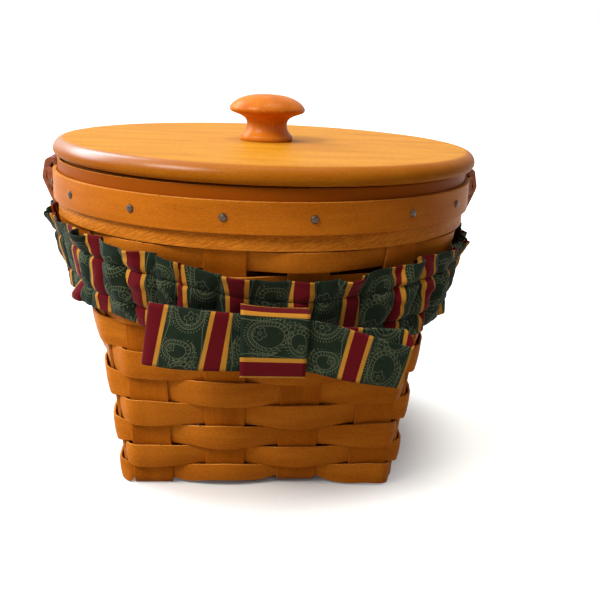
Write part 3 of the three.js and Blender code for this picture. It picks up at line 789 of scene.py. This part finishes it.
def make_tacks():
    for stake in range(STAKES):
        angle = angle_at(stake)
        outward = Vector((math.sin(angle), -math.cos(angle), 0))
        turn = outward.to_track_quat("Z", "Y").to_matrix().to_4x4()
        place = Matrix.Translation(outward * (RIM_RADIUS + 0.05) + Vector((0, 0, TACK_HEIGHT))) @ turn
        head = spin_profile(TACK_DOME, 20, place)
        node = f"tack_{stake + 1:02d}"
        add_piece(f"{node}_dome", head, [tack_metal], "basket", [node])


make_tacks()
print("tacks:", STAKES)
SCREW_HEAD = [(0, -9.2), (2.6, -9.1), (4.0, -8.0), (4.2, -7.2)]
SCREW_HEAD += [(4.2, -6.5), (1.9, -6.5), (1.9, -6.3), (0, -6.3)]
screw = spin_profile(SCREW_HEAD, 32, LID_PLACE)
add_piece("screw_head", screw, [tack_metal], "lid", ["knob_screw"])

# %% [markdown]
# ## Leather ears
# A strap of thick leather is folded round the trim strip at each end. Its outer fold is
# pressed to a crease and packed with a shorter layer of the same hide, and its cut edges show
# the paler inside of the leather.

# %% Leather
def leather_material(name, light, dark):
    material, start = new_material(name)
    flat = strip_place(start)
    settings = {"feature": "DISTANCE_TO_EDGE"}
    cells = flat.node("ShaderNodeTexVoronoi", settings, {"Vector": flat, "Scale": 1.6})
    cloud = flat.scaled(0.2, 0.2, 0.2).speckle(3, 0.6)
    inputs = {"Base Color": cloud.soft_step(0.3, 0.7).mix(light, dark)}
    inputs.update({"Roughness": 0.42 + 0.2 * cloud})
    inputs.update({"Normal": cells.soft_step(0.0, 0.16).bump(0.35, 0.00015)})
    finish_surface(start, inputs)
    return material


ear_leather = leather_material("ear_leather", rgb(164, 84, 40), rgb(116, 54, 26))
leather_edge = leather_material("leather_cut_edge", rgb(164, 88, 44), rgb(124, 62, 32))
EAR_WIDTH = 19
EAR_THICK = 2.3
EAR_PATH = [
    (113.1, 147.0), (113.1, 158.0), (113.8, 161.2), (115.6, 162.2), (117.5, 161.4), (118.2, 158.8),
    (118.9, 155.5), (119.3, 152.9), (118.6, 150.6), (117.0, 146.6), (115.2, 142.2), (113.6, 138.6),
]
EAR_LINING = [
    (114.9, 159.8), (115.7, 159.7), (116.2, 158.4), (116.2, 155.5), (116.2, 152.5),
    (115.9, 149.5), (115.4, 147.0),
]
LINING_THICK = 3.0


def make_ear(name, path, thick, hand, nodes=()):
    pairs = []
    for radius, height in path:
        x, half = hand * radius, hand * EAR_WIDTH / 2
        pairs.append((Vector((x, half, height)), Vector((x, -half, height))))
    leathers = [ear_leather, leather_edge]
    add_strip(name, lay_strip(pairs, 60, 6), leathers, nodes, thick, 0.35)


for side, hand in (("left", -1), ("right", 1)):
    make_ear(f"ear_strap_{side}", EAR_PATH, EAR_THICK, hand, [f"leather_ear_{side}"])
    make_ear(f"ear_lining_{side}", EAR_LINING, LINING_THICK, hand)

# %% [markdown]
# ## Printed cotton
# The cloth is dark green cotton with red stripes edged in gold, and between the stripes runs
# a traditional paisley with flowers and beaded borders. The print is drawn on the flat cloth,
# so the UV map of every cloth piece is its flat size in metres, and folds carry it along.

# %% The cloth's print
STRIPE_PITCH = 30.5
RED_HALF = 3.45
GOLD_HALF = 5.5
MOTIF_PITCH = 34.0
MOTIF_DROP = 17.0
LINE = 0.19
# Each motif's middle between two stripes, its size, and its turn and curl or its bend and width
PAISLEYS = [((-1.2, -6.2), 7.3, 1.0, 0.05), ((4.4, 12.0), 5.2, -2.5, -0.06)]
FLOWERS = [((-1.8, -6.8), 3.1), ((4.9, 12.4), 1.9)]
SPRAYS = [((-6.6, 8.8), 6.6, 0.05, 2.1), ((8.6, -5.0), 6.6, -0.04, 1.9)]


def line_at(distance, half=LINE):
    """A thin line where a distance is zero."""
    return abs(distance) < half


def both(*masks):
    """The union of masks."""
    joined = masks[0]
    for mask in masks[1:]:
        joined = joined.maths("MAXIMUM", mask)
    return joined


def polar(x, y, centre):
    dx, dy = x - centre[0], y - centre[1]
    return (dx * dx + dy * dy).maths("SQRT"), dy.maths("ARCTAN2", dx)


def paisley(x, y, centre, size, turn, curl):
    """A curled teardrop with a ladder inside its edge and a comb of short strokes outside it."""
    reach, angle = polar(x, y, centre)
    turned = angle - turn - reach * curl
    lobe = (0.5 + 0.5 * turned.maths("COSINE")) ** 4
    distance = reach - size * (0.82 + 0.9 * lobe)
    rungs = ((turned * (size / 1.5)).maths("FRACT") < 0.24) * line_at(distance + 0.95, 0.95)
    comb = ((turned * (size / 1.3)).maths("FRACT") < 0.26) * line_at(distance - 1.35, 0.55)
    return both(line_at(distance), line_at(distance + 1.9), rungs, comb)


def flower(x, y, centre, size):
    """Five petals round an eye."""
    reach, angle = polar(x, y, centre)
    petals = size * (0.62 + 0.42 * abs((angle * 2.5).maths("COSINE")))
    return both(line_at(reach - petals), line_at(reach - size * 0.27, 0.17))


def leaf_spray(x, y, centre, length, bend, width):
    """A bent stem with pairs of pointed leaves that shrink towards its end."""
    dx, dy = x - centre[0], y - centre[1]
    stem = dx - bend * dy * dy
    along = (dy + length) / (2 * length)
    step = (dy / 2.5 + abs(stem) * -0.35) % 1.0
    leaf = abs(stem) - width * (1.15 - along) * (step * math.pi).maths("SINE")
    return both(line_at(leaf, 0.17), line_at(stem, 0.14)) * (abs(dy) < length)


def motifs(x, y):
    """All the fine lines that are printed between two stripes."""
    wave = 0.9 * (y * (2 * math.pi / MOTIF_PITCH)).maths("SINE")
    drawn = [line_at(abs(x) - 8.6 - wave, 0.16)]
    drawn += [paisley(x, y, *motif) for motif in PAISLEYS]
    drawn += [flower(x, y, *motif) for motif in FLOWERS]
    drawn += [leaf_spray(x, y, *motif) for motif in SPRAYS]
    return both(*drawn)


# %% The cloth's material
STITCH_LENGTH = 2.3
DARK_GREEN = rgb(18, 31, 22)
PALE_GREEN = rgb(35, 47, 31)
INK = rgb(116, 124, 96)
GOLD = rgb(198, 140, 50)
RED = rgb(104, 11, 22)
THREAD = rgb(14, 20, 14)


def cloth_material(name, stitch_at=None):
    """The printed cotton. It may have a row of stitching on both sides of its middle."""
    material, start = new_material(name)
    flat = strip_place(start)
    along, across, _ = flat.parts()
    phase = along / STRIPE_PITCH + 0.5
    band = phase.maths("FLOOR")
    x = (phase - band - 0.5) * STRIPE_PITCH
    y = (across + band * MOTIF_DROP) % MOTIF_PITCH - MOTIF_PITCH / 2
    wobble = flat.scaled(2.6, 2.6, 2.6).speckle(2, 0.5) * 0.35 - 0.17
    from_red = STRIPE_PITCH / 2 - abs(x) + wobble
    ink = motifs(x, y) * (0.6 + 0.4 * flat.scaled(3, 3, 3).speckle(1, 0.5))
    ground = flat.scaled(0.25, 0.25, 0.25).speckle(2, 0.5).mix(DARK_GREEN, PALE_GREEN)
    colour = (ink * 0.72).mix(ground, INK)
    colour = (from_red < GOLD_HALF).mix(colour, GOLD)
    colour = (from_red < RED_HALF).mix(colour, RED)
    threads = (along * 18.0).maths("SINE") * (across * 18.0).maths("SINE")
    slub = flat.scaled(1.2, 8.0, 1.0).speckle(2, 0.6)
    height = threads * 0.5 + slub * 0.8
    if stitch_at:
        sewn = line_at(abs(across) - stitch_at, 0.3) * (along / STITCH_LENGTH % 1.0 < 0.8)
        colour = (sewn * 0.85).mix(colour, THREAD)
        height = height - sewn * 4.0
    settings = {"data_type": "RGBA", "blend_type": "SOFT_LIGHT"}
    light = slub.mix(rgb(90, 90, 90), rgb(190, 190, 190))
    colour = start.node("ShaderNodeMix", settings, {0: 0.5, 6: colour, 7: light}, 2)
    inputs = {"Base Color": colour, "Roughness": 0.88, "Normal": height.bump(0.3, 0.0001)}
    inputs.update({"Specular IOR Level": 0.12, "Sheen Weight": 0.06, "Sheen Roughness": 0.4})
    finish_surface(start, inputs)
    print(f"{name}: {len(start.tree.nodes)} nodes")
    return material


CASING_HALF = 9.0
printed_cotton = cloth_material("printed_cotton")
sewn_cotton = cloth_material("printed_cotton_sewn", CASING_HALF)

# %% [markdown]
# ## Garter
# The garter is a strip of the cotton gathered on an elastic. Two rows of stitching hold the
# elastic in a casing, and the cloth stands out above and below as a ruffle. Gathers are
# crowded at the stitching and open into fewer, deeper folds at the free edges. A simulation
# would wander off the wall, so the folds are worked out as waves on the wall's own shape.

# %% Where the garter runs
GARTER_HEIGHT = 116.5
GARTER_DIP = 13.5
GARTER_DIP_ANGLE = 6
GARTER_DIP_LEFT = 29
GARTER_DIP_RIGHT = 40
HANG_FOLLOW = 0.6
RIGHT_SAG = 6.5
RIGHT_SAG_ANGLE = 95
LEFT_RAISE = 2.5
LEFT_RAISE_ANGLE = -90
SIDE_SPREAD = 36
# The garter's seam is at the back, this many stakes from the front left one
GARTER_START = 9.5


def degrees_from_front(place):
    turned = math.degrees(angle_at(place))
    return turned - 360 if turned > 180 else turned


def closeness(place, degrees, spread):
    """1 at an angle from the front, and fading over its spread."""
    return math.exp(-(((degrees_from_front(place) - degrees) / spread) ** 2))


def garter_middle(place):
    """The dip is deepest a little right of the front, and fades more slowly to the right."""
    left = degrees_from_front(place) < GARTER_DIP_ANGLE
    spread = GARTER_DIP_LEFT if left else GARTER_DIP_RIGHT
    dip = GARTER_DIP * closeness(place, GARTER_DIP_ANGLE, spread)
    sag = RIGHT_SAG * closeness(place, RIGHT_SAG_ANGLE, SIDE_SPREAD)
    rise = LEFT_RAISE * closeness(place, LEFT_RAISE_ANGLE, SIDE_SPREAD)
    return GARTER_HEIGHT - dip - sag + rise


def garter_point(place, up, out):
    """The garter follows the leaning wall, but hangs more steeply below its casing."""
    middle = garter_middle(place)
    hanging = min(0, up + CASING_HALF)
    point, _ = wall_at(place, middle + up - hanging * (1 - HANG_FOLLOW), out)
    return Vector((point.x, point.y, middle + up))


def garter_place(turn):
    """The place on the wall at a turn from 0 to 1, counted from the seam at the back."""
    place = (GARTER_START + STAKES * turn) % STAKES
    return place - STAKES if place > STAKES - 0.5 else place


def declare_sheet(piece, length, width):
    """Prints how large the cloth was cut, before it was gathered, folded or stretched."""
    length * MM
    width * MM
    print(f"{piece.name}: flat {length:.0f} x {width:.1f} mm")


# %% The elastic
ELASTIC_OUT = 4.1
ELASTIC_WIDTH = 12
ELASTIC_THICK = 0.9
ELASTIC_STATIONS = 160


def elastic_material():
    material, start = new_material("elastic_knit")
    along, across, _ = strip_place(start).parts()
    ribs = 0.5 + 0.5 * (across * 4.2).maths("SINE")
    cross = 0.5 + 0.5 * (along * 6.0).maths("SINE")
    colour = (ribs * 0.6 + cross * 0.2).mix(rgb(206, 200, 186), rgb(236, 232, 222))
    finish_surface(start, {"Base Color": colour, "Roughness": 0.85, "Normal": ribs.bump(0.5, 0.0003)})
    return material


def make_elastic():
    half = ELASTIC_WIDTH / 2
    places = [garter_place(i / ELASTIC_STATIONS) for i in range(ELASTIC_STATIONS + 1)]
    pairs = [[garter_point(place, up, ELASTIC_OUT) for up in (-half, half)] for place in places]
    bm, length, width = lay_strip(pairs, 320, 4)
    knit = [elastic_material()]
    piece = add_piece("elastic_band", bm, knit, "garter", ["garter_elastic"])
    thicken(piece, ELASTIC_THICK)
    declare_sheet(piece, length, width)


make_elastic()

# %% The ruffle's folds
FOLDS = 50
RUFFLE_COLUMNS = 960
RUFFLE_ROWS = 48
TOP_RUFFLE = 10.0
LOW_RUFFLE = 9.0
CLOTH_OUT = 5.2
CLOTH_THICK = 0.8
# How far the folds swing in and out at the free edges, in the casing and at the stitching
EDGE_SWING = 2.8
CASING_SWING = 2.6
STITCH_SWING = 2.1
SMALLEST_FOLD = 0.2
LARGEST_FOLD = 1.25
PLEAT_SHARPNESS = 1.25
# The free edges have fewer folds, each merged from two at the stitching
MERGED_FOLD = 0.75
CREASES = 0.45
CREASE_CELLS = 26
STITCH_PINCH = 1.1
CASING_PUFF = 0.6
EDGE_FLARE = 0.5
EDGE_DROOP = 0.3
EDGE_WANDER = 0.9
LEFT_CALM = 0.35
LEFT_CALM_ANGLE = -85
BOW_PRESS_SPREAD = 14
BOW_PRESS_SHARE = 0.85


def wander(turn, seed, cells):
    """Smooth random numbers round the basket, about -1 to 1, that join up at the back."""
    angle = 2 * math.pi * turn
    spot = Vector((math.cos(angle) * cells / 6, math.sin(angle) * cells / 6, seed * 7.3))
    return noise.noise(spot) * 1.8


def fold_phase(turn):
    """The running fold angle at a turn from 0 to 1, with folds of uneven width."""
    return 2 * math.pi * FOLDS * turn + 2.6 * wander(turn, 1, 9) + 1.5 * wander(turn, 2, 40)


def pleat(phase):
    """A broad crest and a narrow tuck, with its crest closing over the tuck sideways."""
    tuck = math.exp(-PLEAT_SHARPNESS * (1 + math.cos(phase)))
    return 1 - 1.9 * tuck, 2.0 * tuck * math.sin(phase)


def ruffle_swing(up):
    """How far the folds swing in and out at a height from the casing's middle."""
    beyond = abs(up) - CASING_HALF
    if beyond > 0:
        return STITCH_SWING + (EDGE_SWING - STITCH_SWING) * min(1, beyond / LOW_RUFFLE) ** 0.7
    return STITCH_SWING + (CASING_SWING - STITCH_SWING) * (1 - (up / CASING_HALF) ** 4)


def bump_at(up, centre, width):
    """1 at the centre of a smooth hill, and 0 far from it."""
    return math.exp(-(((up - centre) / width) ** 2))


def fold_swing(place, turn, up, beyond, press):
    """How far one fold swings: folds differ in size, and the bow and the left side calm them."""
    edge_size = wander(turn, 7 if up > 0 else 8, 30)
    size = 0.85 + 0.8 * (wander(turn, 5, 34) * (1 - beyond) + edge_size * beyond)
    swing = ruffle_swing(up) * min(LARGEST_FOLD, max(SMALLEST_FOLD, size)) * (0.25 + 0.75 * press)
    return swing * (1 - LEFT_CALM * closeness(place, LEFT_CALM_ANGLE, SIDE_SPREAD))


def ruffle_point(turn, share):
    """A point of the gathered cloth: a turn round the wall and a share of its height."""
    place = garter_place(turn)
    free_low = LOW_RUFFLE + EDGE_WANDER * wander(turn, 3, 30)
    free_high = TOP_RUFFLE + EDGE_WANDER * wander(turn, 4, 30)
    up = -CASING_HALF - free_low + (2 * CASING_HALF + free_low + free_high) * share
    press = 1 - BOW_PRESS_SHARE * closeness(place, 0, BOW_PRESS_SPREAD)
    beyond = min(1, max(0, abs(up) - CASING_HALF) / LOW_RUFFLE)
    swing = fold_swing(place, turn, up, beyond, press)
    phase = fold_phase(turn)
    crest, close = pleat(phase + 0.8 * wander(turn, 9, 25) * up / CASING_HALF)
    merged = phase / 2 + (1.2 if up > 0 else -1.2) + 0.8 * wander(turn, 6, 12)
    wave = (1 - 0.35 * beyond) * crest + MERGED_FOLD * beyond * math.sin(merged)
    around = 2 * math.pi * turn
    spot = Vector((math.cos(around) * CREASE_CELLS, math.sin(around) * CREASE_CELLS, up * 0.2))
    wave += CREASES * noise.noise(spot)
    pinch = -STITCH_PINCH * (bump_at(up, CASING_HALF, 1.0) + bump_at(up, -CASING_HALF, 1.0))
    puff = CASING_PUFF * max(0, 1 - (up / CASING_HALF) ** 4)
    out = CLOTH_OUT + swing * (1.0 + wave)
    out += (pinch + puff + EDGE_FLARE * beyond) * (0.3 + 0.7 * press)
    point = garter_point(place, up, max(CLOTH_OUT - 0.2, out))
    normal = wall_at(place, point.z)[1]
    aside = swing * (0.8 * close - 0.3 * beyond * math.sin(2 * merged))
    droop = -EDGE_DROOP * swing * beyond * math.sin(merged) if up > 0 else 0
    return point + Vector((-normal.y, normal.x, 0)) * aside + Vector((0, 0, droop)), up


def make_ruffle():
    bm, spots = flat_grid(RUFFLE_COLUMNS, RUFFLE_ROWS)
    rows, ups = {}, {}
    for vert, (column, share) in spots.items():
        vert.co, ups[vert] = ruffle_point(column / RUFFLE_COLUMNS, share)
        rows.setdefault(round(share * RUFFLE_ROWS), {})[column] = vert.co.copy()
    along = [0.0]
    for column in range(RUFFLE_COLUMNS):
        steps = [(rows[r][column + 1] - rows[r][column]).length for r in range(0, RUFFLE_ROWS + 1, 8)]
        along.append(along[-1] + sum(steps) / len(steps))
    height = sum((rows[r + 1][0] - rows[r][0]).length for r in range(RUFFLE_ROWS))
    flat = bm.loops.layers.uv.new("strip")
    for face in bm.faces:
        for loop in face.loops:
            column, _ = spots[loop.vert]
            loop[flat].uv = (along[column] * MM, ups[loop.vert] * MM)
    area = sum(face.calc_area() for face in bm.faces)
    bmesh.ops.remove_doubles(bm, verts=bm.verts, dist=1e-3)
    piece = add_piece("gathered_ruffle", bm, [sewn_cotton], "garter", ["garter_ruffle"])
    thicken(piece, CLOTH_THICK, even=False)
    declare_sheet(piece, area / height, height)


make_ruffle()

# %% [markdown]
# ## Bow
# Each loop is a strip of the cotton folded flat at its outer end, and a third strip wrapped
# round the middle holds them. The left loop lies level. The right one droops, and its back
# layer stands up a little behind the front one.

# %% The loops
BOW_MIDDLE = 2.8
BOW_CLOTH = 0.9
KNOT_WIDTH = 30.5
KNOT_HEIGHT = 34.6
KNOT_FOOT = 78.4
KNOT_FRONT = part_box("bow_knot")[0].y / MM
KNOT_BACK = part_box("bow_knot")[1].y / MM
LOOP_ABOVE_KNOT_FOOT = 3.7
LOOP_INSET = 2.4
LOOP_BULGE = 1.4
LAYER_GAP = 2.2
REAR_LEAN = 0.35
LOOP_RIPPLE = 0.9
# Of each loop: its reach from the middle, its height at the knot and outside, the outer end's
# foot, how far the outer end lies back, how far the rear layer stands higher and is cut down,
# the end's lean, and the red stripe's place before the fold
LEFT_LOOP = {
    "reach": 59.4, "inner": 27.5, "tall": 29.5, "foot": 82.7, "back": 8,
    "lift": 0, "cut": 3, "lean": 5.8, "red": 3,
}
RIGHT_LOOP = {
    "reach": 61, "inner": 25, "tall": 20, "foot": 72.7, "back": 6,
    "lift": 8.5, "cut": 4.8, "lean": 5.4, "red": 30,
}
FRONT_SHARES = (0, 0.14, 0.27, 0.4, 0.55, 0.7, 0.82, 0.92, 0.975)


def middle_length(pairs):
    """The length of a strip's middle line."""
    middles = [(low + high) / 2 for low, high in pairs]
    return sum((b - a).length for a, b in zip(middles, middles[1:]))


def loop_pairs(hand, shape):
    """Edge points along the front layer, round the fold and back along the rear layer."""
    held = KNOT_WIDTH / 2 / shape["reach"]
    front, rear = -KNOT_FRONT - LOOP_INSET, -KNOT_BACK + LOOP_INSET
    end = -KNOT_FRONT - shape["back"]

    def at(share, is_front, out=0.0):
        free = max(0, (share - held) / (1 - held))
        low = (KNOT_FOOT + LOOP_ABOVE_KNOT_FOOT) * (1 - free) + shape["foot"] * free
        tall = shape["inner"] * (1 - free) + shape["tall"] * free
        if is_front:
            forward = front + (end - front) * free**2 + LOOP_BULGE * math.sin(math.pi * free)
        else:
            forward = rear + (end - LAYER_GAP - rear) * free**1.6
            low += shape["lift"] * free
            tall -= shape["cut"] * (1 - free)
        x = BOW_MIDDLE + hand * (1 + (shape["reach"] - 1) * share + out)
        lean = shape["lean"] * min(1, 4 * free) * (1 if is_front else REAR_LEAN)
        return Vector((x, -forward, low)), Vector((x + lean, -forward, low + tall))

    front_pairs = [at(share, True) for share in FRONT_SHARES]
    rear_pairs = [at(share, False) for share in FRONT_SHARES[::-1]]
    tip = [(a + b) / 2 for a, b in zip(at(1, True, 0.3), at(1, False, 0.3))]
    return [*front_pairs, tuple(tip), *rear_pairs], middle_length([*front_pairs, tuple(tip)])


def make_loop(name, node, hand, shape):
    pairs, to_fold = loop_pairs(hand, shape)
    shift = STRIPE_PITCH / 2 - (to_fold - shape["red"])
    bm, _, width = lay_strip(pairs, 170, 16, shift)
    for vert in bm.verts:
        spot = Vector((vert.co.x * 0.06, vert.co.y * 0.25, vert.co.z * 0.08))
        edge = min(1, abs(vert.co.x - BOW_MIDDLE) / KNOT_WIDTH)
        vert.co.y -= noise.noise(spot) * LOOP_RIPPLE * edge
    area = sum(face.calc_area() for face in bm.faces)
    piece = add_piece(name, bm, [printed_cotton], "garter", [node])
    thicken(piece, BOW_CLOTH, even=False)
    declare_sheet(piece, area / width, width)


# %% The knot
KNOT_SPREAD = 1.6
KNOT_LEAN = 1.8
KNOT_RED = 13.2
KNOT_SAG = 1.1
# The red stripe is placed from this row of the path, on the band's front
KNOT_TURN_ROWS = 9


def knot_pairs():
    """The band's path, from behind, over the top and round underneath."""
    back, front = KNOT_BACK, KNOT_FRONT
    top = KNOT_FOOT + KNOT_HEIGHT
    path = [
        (back - 0.6, KNOT_FOOT + 14), (back - 0.6, top - 5), (back - 1.4, top - 1.6),
        (back - 3, top - 0.6), (front + 8, top - 0.7), (front + 3.5, top - 1.3),
        (front + 1.3, top - 2.2), (front + 0.5, top - 4), (front + 0.4, top - 12),
        (front + 0.4, top - 22), (front + 0.8, KNOT_FOOT + 4), (front + 1.3, KNOT_FOOT + 1.6),
        (front + 3.2, KNOT_FOOT + 0.6), (back - 3, KNOT_FOOT + 0.6), (back - 0.8, KNOT_FOOT + 2),
        (back - 0.6, KNOT_FOOT + 13),
    ]
    half = KNOT_WIDTH / 2 - 0.3
    pairs = []
    for y, z in path:
        share = (z - KNOT_FOOT) / KNOT_HEIGHT
        right = BOW_MIDDLE + half + KNOT_SPREAD * share
        pairs.append((Vector((BOW_MIDDLE - half, y, z)), Vector((right, y, z - KNOT_LEAN * share))))
    return pairs, middle_length(pairs[:KNOT_TURN_ROWS])


def make_knot():
    pairs, to_front = knot_pairs()
    bm, _, width = lay_strip(pairs, 130, 14, STRIPE_PITCH / 2 - (to_front - KNOT_RED))
    for vert in bm.verts:
        across = (vert.co.x - BOW_MIDDLE) / KNOT_WIDTH
        sag = KNOT_SAG * math.cos(math.pi * across) * bump_at(vert.co.z, KNOT_FOOT + KNOT_HEIGHT, 3)
        vert.co.z -= sag
    area = sum(face.calc_area() for face in bm.faces)
    piece = add_piece("bow_band", bm, [printed_cotton], "garter", ["bow_knot"])
    thicken(piece, BOW_CLOTH, even=False)
    declare_sheet(piece, area / width, width)


make_knot()
make_loop("left_bow_loop", "bow_loop_left", -1, LEFT_LOOP)
make_loop("right_bow_loop", "bow_loop_right", 1, RIGHT_LOOP)

# %% [markdown]
# ## Floor and light
# The basket stands on a white floor. The camera and all shiny things see the floor glow white,
# while its diffuse part still takes the basket's shadow. There are three lamps: a soft key lamp
# at the front left, a long cool window at the back left, which gives the pale band on the
# lid's edge, and a weak warm lamp above. A faint sky, brighter at the left, opens the shadows.

# %% Floor
BLACK = (0, 0, 0, 1)
WHITE = (1, 1, 1, 1)
FLOOR_RADIUS = 6
GLOW_NEAR = 0.6
GLOW_FAR = 0.5


def direct_sight(start):
    """1 for what the camera sees, also in a reflection or through glass, and 0 otherwise."""
    sight = start.node("ShaderNodeLightPath", {}, {})
    seen = sight
    for name in ("Is Glossy Ray", "Is Transmission Ray"):
        seen = seen.maths("MAXIMUM", Wire(start.tree, sight.socket.node.outputs[name]))
    return seen


def floor_material():
    material, start = new_material("white_floor")
    matt = start.node("ShaderNodeBsdfDiffuse", {}, {"Color": (0.8, 0.8, 0.8, 1)})
    dim = start.node("ShaderNodeBsdfDiffuse", {}, {"Color": (0.35, 0.32, 0.28, 1)})
    where = start.node("ShaderNodeTexCoord", {}, {}, 3)
    away = start.node("ShaderNodeVectorMath", {"operation": "LENGTH"}, {0: where}, 1)
    glow = GLOW_NEAR * away.soft_step(0.06, 0.14) + GLOW_FAR * away.soft_step(0.2, 0.9)
    colour = (glow / (GLOW_NEAR + GLOW_FAR)).mix(BLACK, WHITE)
    inputs = {"Color": colour, "Strength": GLOW_NEAR + GLOW_FAR}
    shine = start.node("ShaderNodeEmission", {}, inputs)
    lit = start.node("ShaderNodeAddShader", {}, {0: matt, 1: shine})
    surface = start.node("ShaderNodeMixShader", {}, {0: direct_sight(start), 1: dim, 2: lit})
    finish_material(start, surface)
    return material


def add_floor():
    bm = bmesh.new()
    bmesh.ops.create_circle(bm, cap_ends=True, segments=96, radius=FLOOR_RADIUS)
    add_mesh("floor", bm, [floor_material()])
    print("floor radius:", FLOOR_RADIUS, "m")


add_floor()

# %% Lamps
LIGHT_AIM = Vector((0, 0, 0.1))


def add_lamp(name, place, size, power, colour, length=0.0, spin=0.0):
    """A square lamp aimed at the basket, or a long one turned about its aim."""
    data = bpy.data.lights.new(name, "AREA")
    data.size = size
    if length:
        data.shape = "RECTANGLE"
        data.size_y = length
    data.energy = power
    data.color = colour
    lamp = bpy.data.objects.new(name, data)
    bpy.context.scene.collection.objects.link(lamp)
    lamp.location = place
    aim = LIGHT_AIM - Vector(place)
    lamp.rotation_mode = "QUATERNION"
    lamp.rotation_quaternion = aim.to_track_quat("-Z", "Y") @ Quaternion((0, 0, 1), spin)
    print(f"{name} lamp: {power} W from {aim.length:.2f} m")


add_lamp("key", (-0.96, -0.68, 1.25), 0.6, 23.5, (1.0, 0.96, 0.88))
add_lamp("window", (-1.05, 0.62, 0.8), 0.5, 20, (0.7, 0.88, 1.0), 1.4, math.radians(55))
add_lamp("ceiling", (0.15, 0.05, 1.45), 0.6, 7, (1.0, 0.88, 0.66))

# %% Sky
SKY_SIDE = (-0.55, -0.2, 0.81)
SKY_LOW = 0.03
SKY_HIGH = 0.55


def set_world():
    world = bpy.data.worlds.new("room")
    bpy.context.scene.world = world
    world.use_nodes = True
    tree = world.node_tree
    tree.nodes.clear()
    start = Wire(tree)
    seen = direct_sight(start)
    way = start.node("ShaderNodeTexCoord", {}, {}, 0)
    towards = start.node("ShaderNodeVectorMath", {"operation": "DOT_PRODUCT"}, {0: way, 1: SKY_SIDE}, 1)
    glow = SKY_LOW + (SKY_HIGH - SKY_LOW) * towards.soft_step(-0.3, 0.9)
    colour = (glow * (1 - seen) + seen).mix(BLACK, WHITE)
    sky = start.node("ShaderNodeBackground", {}, {"Color": colour, "Strength": 1.0})
    output = tree.nodes.new("ShaderNodeOutputWorld")
    tree.links.new(sky.socket, output.inputs["Surface"])
    print("sky strength:", SKY_LOW, "to", SKY_HIGH)


set_world()
bpy.context.scene.view_settings.view_transform = "Standard"
